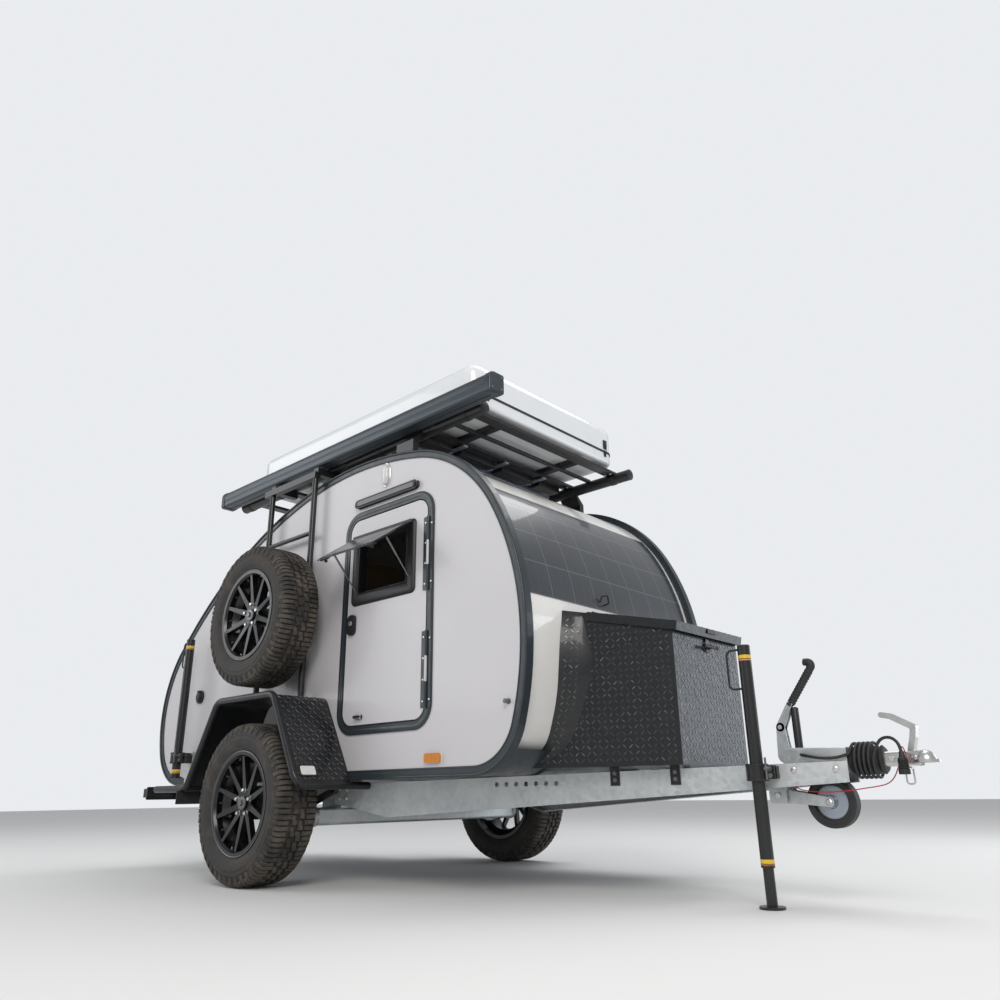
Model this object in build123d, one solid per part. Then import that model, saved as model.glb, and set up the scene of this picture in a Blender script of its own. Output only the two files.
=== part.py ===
from build123d import *
import math
import os

# A two-wheeled teardrop camper with a roof rack, tent, awning, front box and spare wheel.
# Millimetres. +X points forward to the coupling, +Y to the left, +Z up, ground at z = 0.
# Places along the trailer are counted from the wheel centres and moved to the middle of
# the whole length when each piece is written.

os.makedirs("parts", exist_ok=True)

# Wheels
tyre_diameter = 726
tyre_width = 225
tyre_crown_radius = 34
bead_diameter = 440
rim_flange_diameter = 468
rim_width = 196
rim_wall = 7
spoke_count = 10
spoke_width_hub = 30
spoke_width_rim = 17
spoke_thickness = 30
wheel_hub_radius = 62
wheel_bore = 57
wheel_bolt_circle = 112
wheel_bolt_hole = 15
wheel_offset = 36
wheel_gap = 205
axle_height = tyre_diameter / 2

# Body shell
body_width = 1400
body_bottom = 461
wall_thickness = 30
skin_thickness = 28
skin_setback = 30
floor_thickness = 40
outline_start_x = 1244
# Radius and angle of the side line's arcs, from the lower front corner up, back and down to the tail
nose_foot_radius = 260
nose_foot_angle = 73
nose_radius = 1210
nose_angle = 47.5
brow_radius = 795
brow_angle = 46.5
roof_radius = 2060
roof_angle = 25.5
back_radius = 2500
back_angle = 34.5
tail_radius = 590
tail_angle = 64
skin_foot_z = 556
hatch_top_x = -430
hatch_foot_z = 600
edge_cover = 5
trim_face = 36
trim_sheet = 4

# Doors
door_front_x = 950
door_rear_x = 372
door_foot_z = 700
door_head_z = 1720
door_corner = 66
door_gap = 5
door_thickness = 30
frame_face = 40
frame_proud = 6
frame_sleeve = 8
hinge_barrel = 13
hinge_pin = 6
pin_clearance = 0.1
# Foot and head of each door hinge strip
hinge_heights = [(745, 1080), (1270, 1620)]
window_front_x = 875
window_rear_x = 402
window_foot_z = 1272
window_head_z = 1638
window_frame = 62
window_proud = 14
window_corner = 28
pane_length = 275
pane_thickness = 5
pane_open_angle = 55
window_inset = 18
lock_x = 417
lock_z = 1180
catch_x = 500
catch_z = 735
holdback_x = 1440

# Rear hatch and kitchen
hatch_barrel = 14
hatch_axis_rise = 9
hatch_hinge_places = (-480, 0, 480)
hatch_hinge_half = 26
hatch_handle_z = 740
worktop_z = 985
shelf_z = 1430
shelf_rear_x = -700
partition_y = 232
bay_rear_x = -1180

# Chassis
side_member_inset = 140
side_member_height = 100
side_member_width = 42
side_member_front = 385
side_member_rear = -1395
section_wall = 4
drawbar_rear_x = 280
drawbar_inset = 45
drawbar_front_y = 50
drawbar_flange = 44
drawbar_top_rear = 438
drawbar_top_front = 487
drawbar_deep_x = 575
drawbar_foot_rear = 355
drawbar_foot_deep = 294
drawbar_foot_front = 414
row_hole_count = 7
row_hole_pitch = 45
row_hole_first_x = 1118
row_hole_z = 427
row_hole_diameter = 20
axle_tube = 80
axle_tube_x = 172
axle_tube_z = 297
axle_block_length = 150
axle_block_width = 64
swing_arm_inset = 202
swing_arm_width = 25
stub_diameter = 34
backplate_diameter = 250
drum_diameter = 236
drum_inset = 169
shock_inset = 229
shock_diameter = 36
shock_top = (300, 415)
shock_foot = (-12, 310)
shock_eye = 34
shock_pin = 14
cross_tube = 50
cross_drop = 20
arm_height = 35
stand_plate = 8
stand_plate_gap = 8
stand_plate_width = 70
stand_plate_head = 640
cross_places = (-1340, -640, 60)

# Coupling
housing_front_x = 2490
housing_length = 240
housing_half_width = 46
housing_top = 541
housing_foot = 446
draw_axis_z = 488
drawtube_diameter = 50
bellows_diameter = 100
bellows_length = 122
neck_length = 130
coupling_ball_diameter = 50
coupling_skirt = 46
coupling_ball_z = 480
# Corner points of the lift handle, in X and Z from the ball's centre
handle_path = [(-42, 28), (-26, 80), (-20, 112), (-54, 132), (-92, 154), (-120, 160)]
handle_bar = 20
handle_half = 16
# Corner points of the handbrake lever, in X and Z from the top rear of its housing
lever_path = [(-7, -33), (-10, 79), (38, 165), (128, 285), (142, 309), (112, 317)]
lever_width = 26

# Fenders
fender_reach = 95
fender_centre_x = -25
fender_half_top = 252
fender_half_foot = 488
fender_top_z = 845
fender_foot_z = 432
fender_sheet = 3
fender_tube = 34
fender_bend = 62
fender_lip = 320
flap_width = 250
flap_foot_z = 358
reflector_y = 925
reflector_rise = 71
reflector_size = (54, 90)

# Roof load
rail_inset = 86
rail_z = 2130
rail_diameter = 64
rail_front_x = 1235
rail_rear_x = -870
tent_front_x = 1150
tent_rear_x = -745
tent_half_width = 598
tent_tray_height = 70
tent_lid_height = 166
tent_wall = 12
tent_hinge_places = (-330, 330)
awning_front_x = 1400
awning_rear_x = -950
awning_overhang = 46
awning_foot_z = 2117
awning_height = 102
awning_bracket_places = (-560, 180, 900)
post_gap = 45
post_diameter = 32
post_front_x = 70
post_rear_x = -350
rung_z = 1730
beam_z = 2062
beam_size = 36
slat_first_x = 1120
slat_pitch = 320
slat_count = 7
slat_width = 58
slat_height = 18
slat_rise = 35
channel_height = 31
rail_wall = 3
foot_x = (705, 830)
tent_corner = 75
tent_crown = 52
mount_channel_y = 330
awning_end_cap = 34
carrier_rise = 70
carrier_bar = 25

# Spare wheel
spare_x = -112
spare_z = 1275
spare_gap = 188

# Front box
box_front_x = 1950
box_front_half = 270
box_rear_half = 412
box_foot_z = 486
box_rear_top_z = 1127
box_front_top_z = 1042
box_sheet = 3
lid_lip = 34
lid_overhang = 8
lid_front_overhang = 30
box_hinge_x = 1610
box_rear_x = 1530
box_hinge_barrel = 12
box_tab_x = (1640, 1880)
box_back_x = 1524
# Height, bulge at the body and reach of the flared strip along the body
box_flare = [(486, 0.5, 84), (560, 8, 82), (640, 28, 76), (760, 34, 90), (900, 42, 104), (1010, 34, 86), (1140, 0.5, 68)]
latch_foot_z = 958
latch_half = 14

# Stands
stand_diameter = 48
stand_length = 780
stand_leg_diameter = 38
stand_foot_diameter = 90
front_stand_back = 275
front_stand_y = 200
front_stand_top = 912
rear_stand_x = -1055
rear_stand_gap = 90
rear_stand_top = 1282
clamp_height = 60
clamp_diameter = 78
clamp_z = 452
rear_clamp_z = 605
slide_clearance = 0.3
stand_loop_reach = 74
stand_loop_drop = 148
stand_loop_wire = 9

# Jockey wheel
jockey_wheel_diameter = 180
jockey_wheel_width = 58
jockey_reach = 187
jockey_wheel_z = 347
jockey_pivot_back = 275
jockey_pivot_z = 372
jockey_pin = 14
jockey_ear_y = 48
jockey_cheek_y = 37
jockey_plate = 5

# Cords: the lead wound round the bellows, and the breakaway cable, in X from the housing's front
lead_diameter = 11
coil_gap = 16
coil_length = 90
coil_outer_diameter = 142
breakaway_diameter = 4
plug_diameter = 38
plug_length = 76
hook_wire = 6
lead_run = [
    (-170, -42, 514), (-152, -60, 511), (-128, -70, 506), (-98, -72, 500), (-60, -68, 497), (-28, -63, 499),
    (0, -59, 506), (16, -56, 511.4),
]
lead_tail = [
    (106, -30, 540.8), (122, -32, 550), (144, -40, 560), (168, -52, 560), (186, -63, 546), (195, -69, 526),
    (198, -71, 508),
]
breakaway_run = [
    (-200, -56, 408), (-196, -56, 399), (-182, -57, 391), (-156, -58, 386), (-118, -59, 382), (-72, -59, 381),
    (-26, -58, 383), (18, -54, 388), (58, -44, 394), (90, -24, 399), (112, 4, 406), (128, 28, 424),
    (140, 41, 452), (152, 45, 484), (164, 38, 514), (174, 16, 529), (184, -8, 530), (194, -28, 522),
    (202, -41, 504), (206, -46, 482), (207, -47, 462),
]

# Lamps and solar panel
solar_inset = 30
solar_foot_z = 1172
solar_head_z = 1722
gable_lamp_x = 632
gable_lamp_z = 1922
gable_lamp_half = (26, 62)
work_lamp_x = (410, 880)
work_lamp_z = (1790, 1826)
marker_x = (966, 1059)
marker_z = (517, 553)
outlet_x = -1030
outlet_z = 953
outlet_diameter = 76
tail_lamp_width = 220
tail_lamp_overhang = 40
tail_beam_overhang = 60

# What follows from the dimensions above
tail_x = -1502
coupling_ball_x = housing_front_x + bellows_length + neck_length
nose_x = coupling_ball_x + coupling_skirt
mid_x = (nose_x + tail_x) / 2
far = 2 * (nose_x - tail_x)
wall_outer = body_width / 2
wall_inner = wall_outer - wall_thickness
wheel_y = wall_outer + wheel_gap
outline_arcs = [
    (nose_foot_radius, nose_foot_angle),
    (nose_radius, nose_angle),
    (brow_radius, brow_angle),
    (roof_radius, roof_angle),
    (back_radius, back_angle),
    (tail_radius, tail_angle),
]
side_member_y = wall_outer - side_member_inset
drawbar_rear_y = wall_outer - drawbar_inset
drawbar_front_x = housing_front_x
housing_rear_x = housing_front_x - housing_length
bellows_front_x = housing_front_x + bellows_length
coil_rear_x = housing_front_x + coil_gap
coil_front_x = coil_rear_x + coil_length
jockey_pivot_x = housing_front_x - jockey_pivot_back
jockey_wheel_x = jockey_pivot_x + jockey_reach
front_stand_x = housing_front_x - front_stand_back
swing_arm_y = wheel_y - swing_arm_inset
drum_inner_y = wheel_y - drum_inset
shock_y = wheel_y - shock_inset
fender_outer_y = wheel_y + fender_reach
stand_plate_y = wall_outer + stand_plate_gap
rear_stand_y = wall_outer + rear_stand_gap
rail_y = wall_outer - rail_inset
slat_top = rail_z + slat_rise
tent_base_z = slat_top + channel_height
tent_split_z = tent_base_z + tent_tray_height
tent_top_z = tent_split_z + tent_lid_height
awning_outer_y = wall_outer + awning_overhang
post_y = wall_outer + post_gap
spare_y = wall_outer + spare_gap
solar_half = wall_inner - solar_inset
skin_inner = skin_setback + skin_thickness
drawbar_slope = (drawbar_rear_y - drawbar_front_y) / (drawbar_front_x - drawbar_rear_x)
drawbar_turn = math.degrees(math.atan(drawbar_slope))
side_member_top = body_bottom
hinge_x = door_front_x + 14
box_slope = (box_rear_top_z - box_front_top_z) / (box_front_x - box_rear_x)
box_hinge_z = box_rear_top_z - box_slope * (box_hinge_x - box_rear_x) + box_hinge_barrel / 2 + 0.4
tent_hinge_x = tent_rear_x - 8
tent_hinge_z = tent_split_z - 0.5
hinge_y = wall_outer + frame_proud + 8
hatch_axis_x = hatch_top_x - door_gap / 2
window_outline = Pos((window_rear_x + window_front_x) / 2, (window_foot_z + window_head_z) / 2) * RectangleRounded(
    window_front_x - window_rear_x, window_head_z - window_foot_z, window_corner
)


def block(x0, x1, y0, y1, z0, z1):
    """A box between two corners."""
    return Pos((x0 + x1) / 2, (y0 + y1) / 2, (z0 + z1) / 2) * Box(x1 - x0, y1 - y0, z1 - z0)


def across(face, y0, y1):
    """A face drawn in X and Z, pulled from y0 to y1."""
    return Pos(0, y1, 0) * extrude(Plane.XZ * face, y1 - y0)


def along(face, x0, x1):
    """A face drawn in Y and Z, pulled from x0 to x1."""
    return Pos(x0, 0, 0) * extrude(Plane.YZ * face, x1 - x0)


def upward(face, z0, z1):
    """A face drawn in X and Y, pulled from z0 to z1."""
    return Pos(0, 0, z0) * extrude(face, z1 - z0)


def rod(start, end, diameter):
    """A round bar between two points."""
    start, end = Vector(*start), Vector(*end)
    return extrude(Plane(origin=start, z_dir=end - start) * Circle(diameter / 2), (end - start).length)


def bent_bar(points, bends, diameter):
    """A round bar along straight runs joined by tangent arcs."""
    path = FilletPolyline(*points, radius=bends)
    return sweep(Plane(origin=path @ 0, z_dir=path % 0) * Circle(diameter / 2), path=path)


def window_shape(x0, x1, z0, z1, corner):
    """A rectangle with round corners, in X and Z."""
    return Pos((x0 + x1) / 2, (z0 + z1) / 2) * RectangleRounded(x1 - x0, z1 - z0, corner)


def twin(solid):
    """The same piece on the other side."""
    return mirror(solid, about=Plane.XZ)


def largest(shape):
    """The main solid of a shape, without slivers that a cut leaves."""
    return max(shape.solids(), key=lambda solid: solid.volume)


def save(node, *pieces):
    """Write one node, moved so that the middle of the length is x = 0."""
    solids = [solid for piece in pieces for solid in piece.solids()]
    shape = solids[0] if len(solids) == 1 else Compound(solids)
    export_step(Pos(-mid_x, 0, 0) * shape, f"parts/{node}.step")


# Side outline of the body


def outline_geometry():
    """Centre, radius, first and last heading of every arc, in order."""
    x, z, heading = outline_start_x, body_bottom, 0.0
    arcs = []
    for radius, turn in outline_arcs:
        centre = (x - radius * math.sin(heading), z + radius * math.cos(heading))
        last = heading + math.radians(turn)
        arcs.append((centre, radius, heading, last))
        x = centre[0] + radius * math.sin(last)
        z = centre[1] - radius * math.cos(last)
        heading = last
    # The last arc lands level on the bottom line
    radius = (z - body_bottom) / (1 - math.cos(2 * math.pi - heading))
    centre = (x - radius * math.sin(heading), z + radius * math.cos(heading))
    arcs.append((centre, radius, heading, 2 * math.pi))
    return arcs


outline_parts = outline_geometry()


def outline_face():
    edges = []
    for centre, radius, first, last in outline_parts:
        edges.append(CenterArc(centre, radius, math.degrees(first) - 90, math.degrees(last - first)))
    edges.append(Line(edges[-1] @ 1, edges[0] @ 0))
    return make_face(edges)


side_outline = outline_face()


def setback_face(amount):
    return offset(side_outline, amount=-amount)


def ring(outer, inner):
    """The band of the outline between two setbacks."""
    return setback_face(outer) - setback_face(inner)


def roof_z(x, setback):
    """Height of the roof line at x, on a line set back from the outline."""
    for centre, radius, first, last in outline_parts:
        ratio = (x - centre[0]) / (radius - setback)
        if abs(ratio) <= 1:
            heading = math.pi - math.asin(ratio)
            if first <= heading <= last:
                return centre[1] - (radius - setback) * math.cos(heading)
    return body_bottom


def nose_wall_x(z, setback):
    """Place of the front line at height z, on a line set back from the outline."""
    for centre, radius, first, last in outline_parts:
        ratio = (centre[1] - z) / (radius - setback)
        if abs(ratio) <= 1:
            heading = math.acos(ratio)
            if first <= heading <= last:
                return centre[0] + (radius - setback) * math.sin(heading)
    return outline_start_x


hatch_axis_z = roof_z(hatch_axis_x, skin_setback) + hatch_axis_rise

# Body shell

door_shape = window_shape(door_rear_x, door_front_x, door_foot_z, door_head_z, door_corner)
floor_zone = block(0, far, -far, far, 0, skin_foot_z) + block(-far, 0, -far, far, 0, hatch_foot_z)


def build_floor():
    return across(ring(0, floor_thickness), -wall_inner, wall_inner) & floor_zone


def build_wall():
    """Left side wall with its door opening."""
    opening = offset(door_shape, amount=door_gap + frame_sleeve)
    return across(side_outline - opening, wall_inner, wall_outer)


def build_trims(floor):
    """Edge cover of the left wall, and the frame of the left door with its hinge leaves."""
    face = across(ring(-edge_cover, trim_face), wall_outer, wall_outer + trim_sheet)
    edge = across(ring(-edge_cover, 0), wall_inner - trim_sheet, wall_outer + trim_sheet)
    inside = across(ring(-edge_cover, skin_setback - 0.5), wall_inner - trim_sheet, wall_inner)
    cover = face + edge + inside - floor
    clear = offset(door_shape, amount=door_gap)
    flange = offset(door_shape, amount=door_gap + frame_face) - clear
    sleeve = offset(door_shape, amount=door_gap + frame_sleeve) - clear
    frame = across(flange, wall_outer, wall_outer + frame_proud)
    frame += across(sleeve, wall_inner, wall_outer)
    for foot, head in hinge_heights:
        frame += block(hinge_x + hinge_barrel / 2 + 1.5, hinge_x + 26, wall_outer, wall_outer + frame_proud + 3, foot, head)
        for low, high in hinge_ends(foot, head):
            knuckle = rod((hinge_x, hinge_y, low), (hinge_x, hinge_y, high), hinge_barrel)
            bridge = block(hinge_x, hinge_x + hinge_barrel / 2 + 2, wall_outer + frame_proud, hinge_y, low, high)
            frame += knuckle + bridge
        frame += rod((hinge_x, hinge_y, foot), (hinge_x, hinge_y, head), hinge_pin)
    return cover, frame


def build_roof():
    whole = across(ring(skin_setback, skin_inner), -wall_inner, wall_inner)
    return whole & block(hatch_top_x, far, -far, far, skin_foot_z, far)


def build_galley():
    """Bulkhead, worktop, shelf and two partitions of the rear kitchen."""
    inside = across(setback_face(skin_inner + 0.3), -wall_inner, wall_inner)
    kitchen = across(setback_face(skin_inner + 22), -wall_inner, wall_inner)
    floor_top = body_bottom + floor_thickness
    bulkhead = block(hatch_top_x, hatch_top_x + 18, -wall_inner, wall_inner, floor_top, far) & inside
    worktop = block(-far, hatch_top_x, -wall_inner, wall_inner, worktop_z - 22, worktop_z)
    shelf = block(shelf_rear_x, hatch_top_x, -wall_inner, wall_inner, shelf_z - 18, shelf_z)
    fittings = worktop + shelf
    for y in (-partition_y, partition_y):
        fittings += block(bay_rear_x, hatch_top_x, y - 9, y + 9, floor_top, worktop_z)
        fittings += block(shelf_rear_x, hatch_top_x, y - 9, y + 9, shelf_z, far)
    return bulkhead + (fittings & kitchen)


def hinge_ends(foot, head):
    """Low and high ends of the two fixed knuckles of a door hinge."""
    third = (head - foot) / 3
    return ((foot, foot + third - 0.5), (head - third + 0.5, head))


def hatch_hinge(y, rear):
    """Knuckles and strap of a hatch hinge: the roof's half, or the hatch's half with rear set."""
    side = -1 if rear else 1
    half = hatch_hinge_half
    near, tip = hatch_axis_x + side * (hatch_barrel / 2 + 1.5), hatch_axis_x + side * 62
    strap = across(ring(skin_setback - 4, skin_setback), y - half, y + half)
    piece = strap & block(min(near, tip), max(near, tip), -far, far, worktop_z, far)
    ends = [(y - half / 2 + 0.5, y + half / 2 - 0.5)] if rear else [(y - half, y - half / 2), (y + half / 2, y + half)]
    for low, high in ends:
        toe = hatch_axis_x + side * 16
        piece += block(min(hatch_axis_x, toe), max(hatch_axis_x, toe), low, high, hatch_axis_z - hatch_axis_rise, hatch_axis_z)
        piece += rod((hatch_axis_x, low, hatch_axis_z), (hatch_axis_x, high, hatch_axis_z), hatch_barrel)
    bar = hinge_pin + (2 * pin_clearance if rear else 0)
    pin = rod((hatch_axis_x, y - half, hatch_axis_z), (hatch_axis_x, y + half, hatch_axis_z), bar)
    piece = piece - pin if rear else piece + pin
    return piece - across(setback_face(skin_setback), -far, far)


def build_hatch():
    """Rear hatch between the walls, with its hinges and handle."""
    half = wall_inner - trim_sheet - door_gap
    shell = across(ring(skin_setback, skin_inner), -half, half)
    shell &= block(-far, hatch_top_x - door_gap, -far, far, hatch_foot_z + door_gap, far)
    for y in hatch_hinge_places:
        shell += hatch_hinge(y, True)
    handle = across(ring(skin_setback - 22, skin_setback), -70, 70)
    return shell + (handle & block(-far, 0, -far, far, hatch_handle_z - 15, hatch_handle_z + 15))


# Doors and windows


def build_door():
    """Left door panel with its window hole, hinge leaves and holdback catch."""
    outer = wall_outer + frame_proud - 1
    hole = offset(window_outline, amount=-window_inset)
    panel = across(door_shape - hole, outer - door_thickness, outer)
    for foot, head in hinge_heights:
        third = (head - foot) / 3
        low, high = foot + third, head - third
        over = wall_outer + frame_proud + 0.5
        panel += block(hinge_x - 32, hinge_x, over, over + 3, low, high)
        panel += block(hinge_x - 32, door_front_x - 1, outer, over, low, high)
        panel += block(hinge_x - 6, hinge_x, over, hinge_y, low, high)
        panel += rod((hinge_x, hinge_y, low), (hinge_x, hinge_y, high), hinge_barrel)
        panel -= rod((hinge_x, hinge_y, foot), (hinge_x, hinge_y, head), hinge_pin + 2 * pin_clearance)
    lock = across(window_shape(lock_x - 24, lock_x + 24, lock_z - 46, lock_z + 46, 18), outer, outer + 12)
    catch = block(catch_x - 22, catch_x + 22, outer, outer + 18, catch_z - 8, catch_z + 8)
    return panel + lock + catch


def build_window(open_angle):
    """Frame of a left door window, its pane hinged at the head, and two stays."""
    outer = wall_outer + frame_proud - 1
    inner = outer - door_thickness
    opening = offset(window_outline, amount=-window_frame)
    hole = offset(window_outline, amount=-window_inset - 0.2)
    frame = across(window_outline - opening, outer, outer + window_proud)
    frame += across(hole - opening, inner - 6, outer)
    frame += across(window_outline - opening, inner - 6, inner)
    hang_y, hang_z = outer + window_proud + 4, window_head_z - 22
    x0, x1 = window_rear_x + 14, window_front_x - 14
    pane = block(x0, x1, 0, pane_thickness, -pane_length, 0)
    bar = rod((x0, 0, 0), (x1, 0, 0), 10)
    pane = Pos(0, hang_y, hang_z) * (Rot(open_angle, 0, 0) * (pane + bar))
    frame += block(x0, x1, outer, hang_y, hang_z + 4, hang_z + 12)
    pieces = [frame, pane - frame]
    if open_angle > 0:
        reach = math.radians(open_angle)
        tip = (hang_y + 0.62 * pane_length * math.sin(reach), hang_z - 0.62 * pane_length * math.cos(reach))
        for x in (x0 + 22, x1 - 22):
            stay = rod((x, outer + 4, window_foot_z + 70), (x, tip[0], tip[1]), 7)
            pieces.append(stay - pane - frame)
    return pieces


# Chassis


def rail_plane():
    """Plane of the right drawbar rail's outer face: X along the rail, Y up."""
    turn = math.radians(drawbar_turn)
    return Plane(
        origin=(drawbar_rear_x, -drawbar_rear_y, 0),
        x_dir=(math.cos(turn), math.sin(turn), 0),
        z_dir=(math.sin(turn), -math.cos(turn), 0),
    )


def rail_station(x):
    """Distance along the rail at place x."""
    return (x - drawbar_rear_x) / math.cos(math.radians(drawbar_turn))


def rail_face_y(x):
    """Distance of the rail's outer face from the middle at place x."""
    return drawbar_rear_y - drawbar_slope * (x - drawbar_rear_x)


def build_rail():
    """Right drawbar rail: a channel that is deep under the door and shallow at the coupling."""
    length = rail_station(drawbar_front_x)
    deep = rail_station(drawbar_deep_x)
    points = [
        (0, drawbar_top_rear),
        (length, drawbar_top_front),
        (length, drawbar_foot_front),
        (deep, drawbar_foot_deep),
        (0, drawbar_foot_rear),
    ]
    face = make_face(Polyline(*points, close=True))
    hollow = offset(face, amount=-section_wall)
    plane = rail_plane()
    rail = extrude(plane * face, -drawbar_flange)
    rail -= extrude(plane.offset(-section_wall) * hollow, -drawbar_flange)
    for i in range(row_hole_count):
        x = row_hole_first_x + i * row_hole_pitch
        rail -= extrude(plane * Pos(rail_station(x), row_hole_z) * Circle(row_hole_diameter / 2), -2 * section_wall)
    return rail


def build_drawbar():
    """Both rails, the plates that join their noses, and the jockey wheel's ears."""
    right = build_rail()
    pocket = block(housing_rear_x - 6, drawbar_front_x + 5, -housing_half_width, housing_half_width, 0, far)
    rails = right + twin(right) - pocket
    ear_y = jockey_ear_y
    plates = rod((jockey_pivot_x, -ear_y, jockey_pivot_z), (jockey_pivot_x, ear_y, jockey_pivot_z), jockey_pin)
    for y in (-ear_y, ear_y):
        ear = window_shape(jockey_pivot_x - 34, jockey_pivot_x + 34, jockey_pivot_z - 30, drawbar_foot_front + 6, 12)
        plates += across(ear, y - jockey_plate / 2, y + jockey_plate / 2)
    rear, front = jockey_pivot_x - 35, jockey_pivot_x + 85
    shelf_face = Polyline(
        (rear, -rail_face_y(rear)),
        (front, -rail_face_y(front)),
        (front, rail_face_y(front)),
        (rear, rail_face_y(rear)),
        close=True,
    )
    shelf = upward(make_face(shelf_face), drawbar_foot_front - 6, drawbar_foot_front)
    return rails + shelf + plates


def side_member():
    """Left side member: a channel open towards the middle."""
    half = side_member_width / 2
    foot = side_member_top - side_member_height
    member = block(side_member_rear, side_member_front, side_member_y - half, side_member_y + half, foot, side_member_top)
    return member - block(side_member_rear - 1, side_member_front + 1, side_member_y - half - 1,
                          side_member_y + half - section_wall, foot + section_wall, side_member_top - section_wall)


def stand_arm():
    """Left arm under the wall and the upright plate that carries the rear stand's clamp."""
    half = stand_plate_width / 2
    low = body_bottom - edge_cover - 6 - arm_height
    arm = block(rear_stand_x - half, rear_stand_x + half, side_member_y + side_member_width / 2,
                stand_plate_y + stand_plate, low, low + arm_height)
    return arm + block(rear_stand_x - half, rear_stand_x + half, stand_plate_y, stand_plate_y + stand_plate,
                       low, stand_plate_head)


def build_chassis(drawbar):
    """Side members, cross tubes, spacers to the drawbar rails and the rear stands' arms."""
    half = side_member_width / 2
    spacer = block(side_member_front - 90, side_member_front - 5, side_member_y + half, wall_outer,
                   drawbar_foot_rear + 12, drawbar_top_rear - 14) & inside_rails()
    side = side_member() + spacer + stand_arm()
    frame = side + twin(side)
    reach = side_member_y + half - section_wall
    head = side_member_top - cross_drop
    for x in cross_places:
        tube = block(x, x + cross_tube, -reach, reach, head - cross_tube, head)
        tube -= block(x + section_wall, x + cross_tube - section_wall, -reach, reach,
                      head - cross_tube + section_wall, head - section_wall)
        frame += tube
    return frame - drawbar


def inside_rails():
    """The room between the webs of the two drawbar rails."""
    face = Polyline(
        (drawbar_rear_x, -drawbar_rear_y + section_wall),
        (drawbar_front_x, -drawbar_front_y + section_wall),
        (drawbar_front_x, drawbar_front_y - section_wall),
        (drawbar_rear_x, drawbar_rear_y - section_wall),
        close=True,
    )
    return upward(make_face(face), drawbar_foot_deep, drawbar_top_front)


def build_axle():
    """Axle tube with its plates, swing arms, brake plates and stubs."""
    half = axle_tube / 2
    reach = swing_arm_y - swing_arm_width / 2
    section = Pos(axle_tube_x, axle_tube_z) * RectangleRounded(axle_tube, axle_tube, 14)
    axle = across(section, -reach, reach)
    long, wide = axle_block_length / 2, axle_block_width / 2
    for y in (-side_member_y, side_member_y):
        axle += block(axle_tube_x - long, axle_tube_x + long, y - wide, y + wide, axle_tube_z + half - 2,
                      side_member_top - side_member_height)
    arm_face = make_hull(
        (Pos(axle_tube_x, axle_tube_z) * Circle(46) + Pos(0, axle_height) * Circle(36)).edges()
    )
    for side in (-1, 1):
        low = side * swing_arm_y - swing_arm_width / 2
        axle += across(arm_face, low, low + swing_arm_width)
        outer = swing_arm_y + swing_arm_width / 2
        axle += rod((0, side * (outer - 2), axle_height), (0, side * (outer + 14), axle_height), backplate_diameter)
        axle += rod((0, side * outer, axle_height), (0, side * (wheel_y + wheel_offset - 20), axle_height), stub_diameter)
        axle += rod((shock_foot[0], side * (shock_y - 13), shock_foot[1]), (shock_foot[0], side * swing_arm_y, shock_foot[1]), shock_pin)
        lug = make_hull((Pos(*shock_foot) * Circle(17) + Pos(10, axle_height) * Circle(17)).edges())
        axle += across(lug, side * (swing_arm_y - 1) - 10, side * (swing_arm_y - 1) + 10)
    return axle


def build_shock(drawbar, chassis):
    """Left shock absorber: body, rod and two eyes, the top one on a pin at the rail."""
    top = Vector(shock_top[0], shock_y, shock_top[1])
    foot = Vector(shock_foot[0], shock_y, shock_foot[1])
    aim = (foot - top).normalized()
    middle = top + aim * 150
    shock = rod(top, middle, shock_diameter) + rod(middle - aim * 5, foot, 15)
    for end in (top, foot):
        shock += rod((end.X, shock_y - 12, end.Z), (end.X, shock_y + 12, end.Z), shock_eye)
    pin = rod((top.X, rail_face_y(top.X) - 3, top.Z), (top.X, shock_y, top.Z), shock_pin)
    hole = rod((foot.X, shock_y - 20, foot.Z), (foot.X, shock_y + 60, foot.Z), shock_pin)
    return largest(shock + pin - hole - drawbar - chassis)


# Coupling


def build_housing(drawbar):
    """Overrun housing between the rail noses, with its two through bolts."""
    half = housing_half_width
    side = Polyline(
        (housing_rear_x, housing_foot),
        (housing_front_x, housing_foot),
        (housing_front_x, housing_top - 6),
        (housing_rear_x + 12, housing_top),
        (housing_rear_x, housing_top - 12),
        close=True,
    )
    body = across(make_face(side), -half, half)
    body = fillet([edge for edge in body.edges() if abs((edge % 0.5).X) > 0.9], 9)
    for x in (housing_rear_x + 60, housing_front_x - 40):
        reach = rail_face_y(x) - 1
        body += rod((x, -reach, housing_foot + 14), (x, reach, housing_foot + 14), 18)
    return largest(body - drawbar)


def build_bellows():
    """Ribbed rubber bellows round the drawtube."""
    count = 7
    length = bellows_front_x - housing_front_x
    pitch = length / count
    outer, waist = bellows_diameter / 2, bellows_diameter / 2 - 9
    points = [(0, drawtube_diameter / 2)]
    for i in range(count):
        points += [(i * pitch, waist), (i * pitch + pitch / 2, outer)]
    points += [(length, waist), (length, drawtube_diameter / 2)]
    face = make_face(Polyline(*points, close=True))
    return Pos(housing_front_x, 0, draw_axis_z) * revolve(Plane.XY * face, Axis.X, 360)


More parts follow.
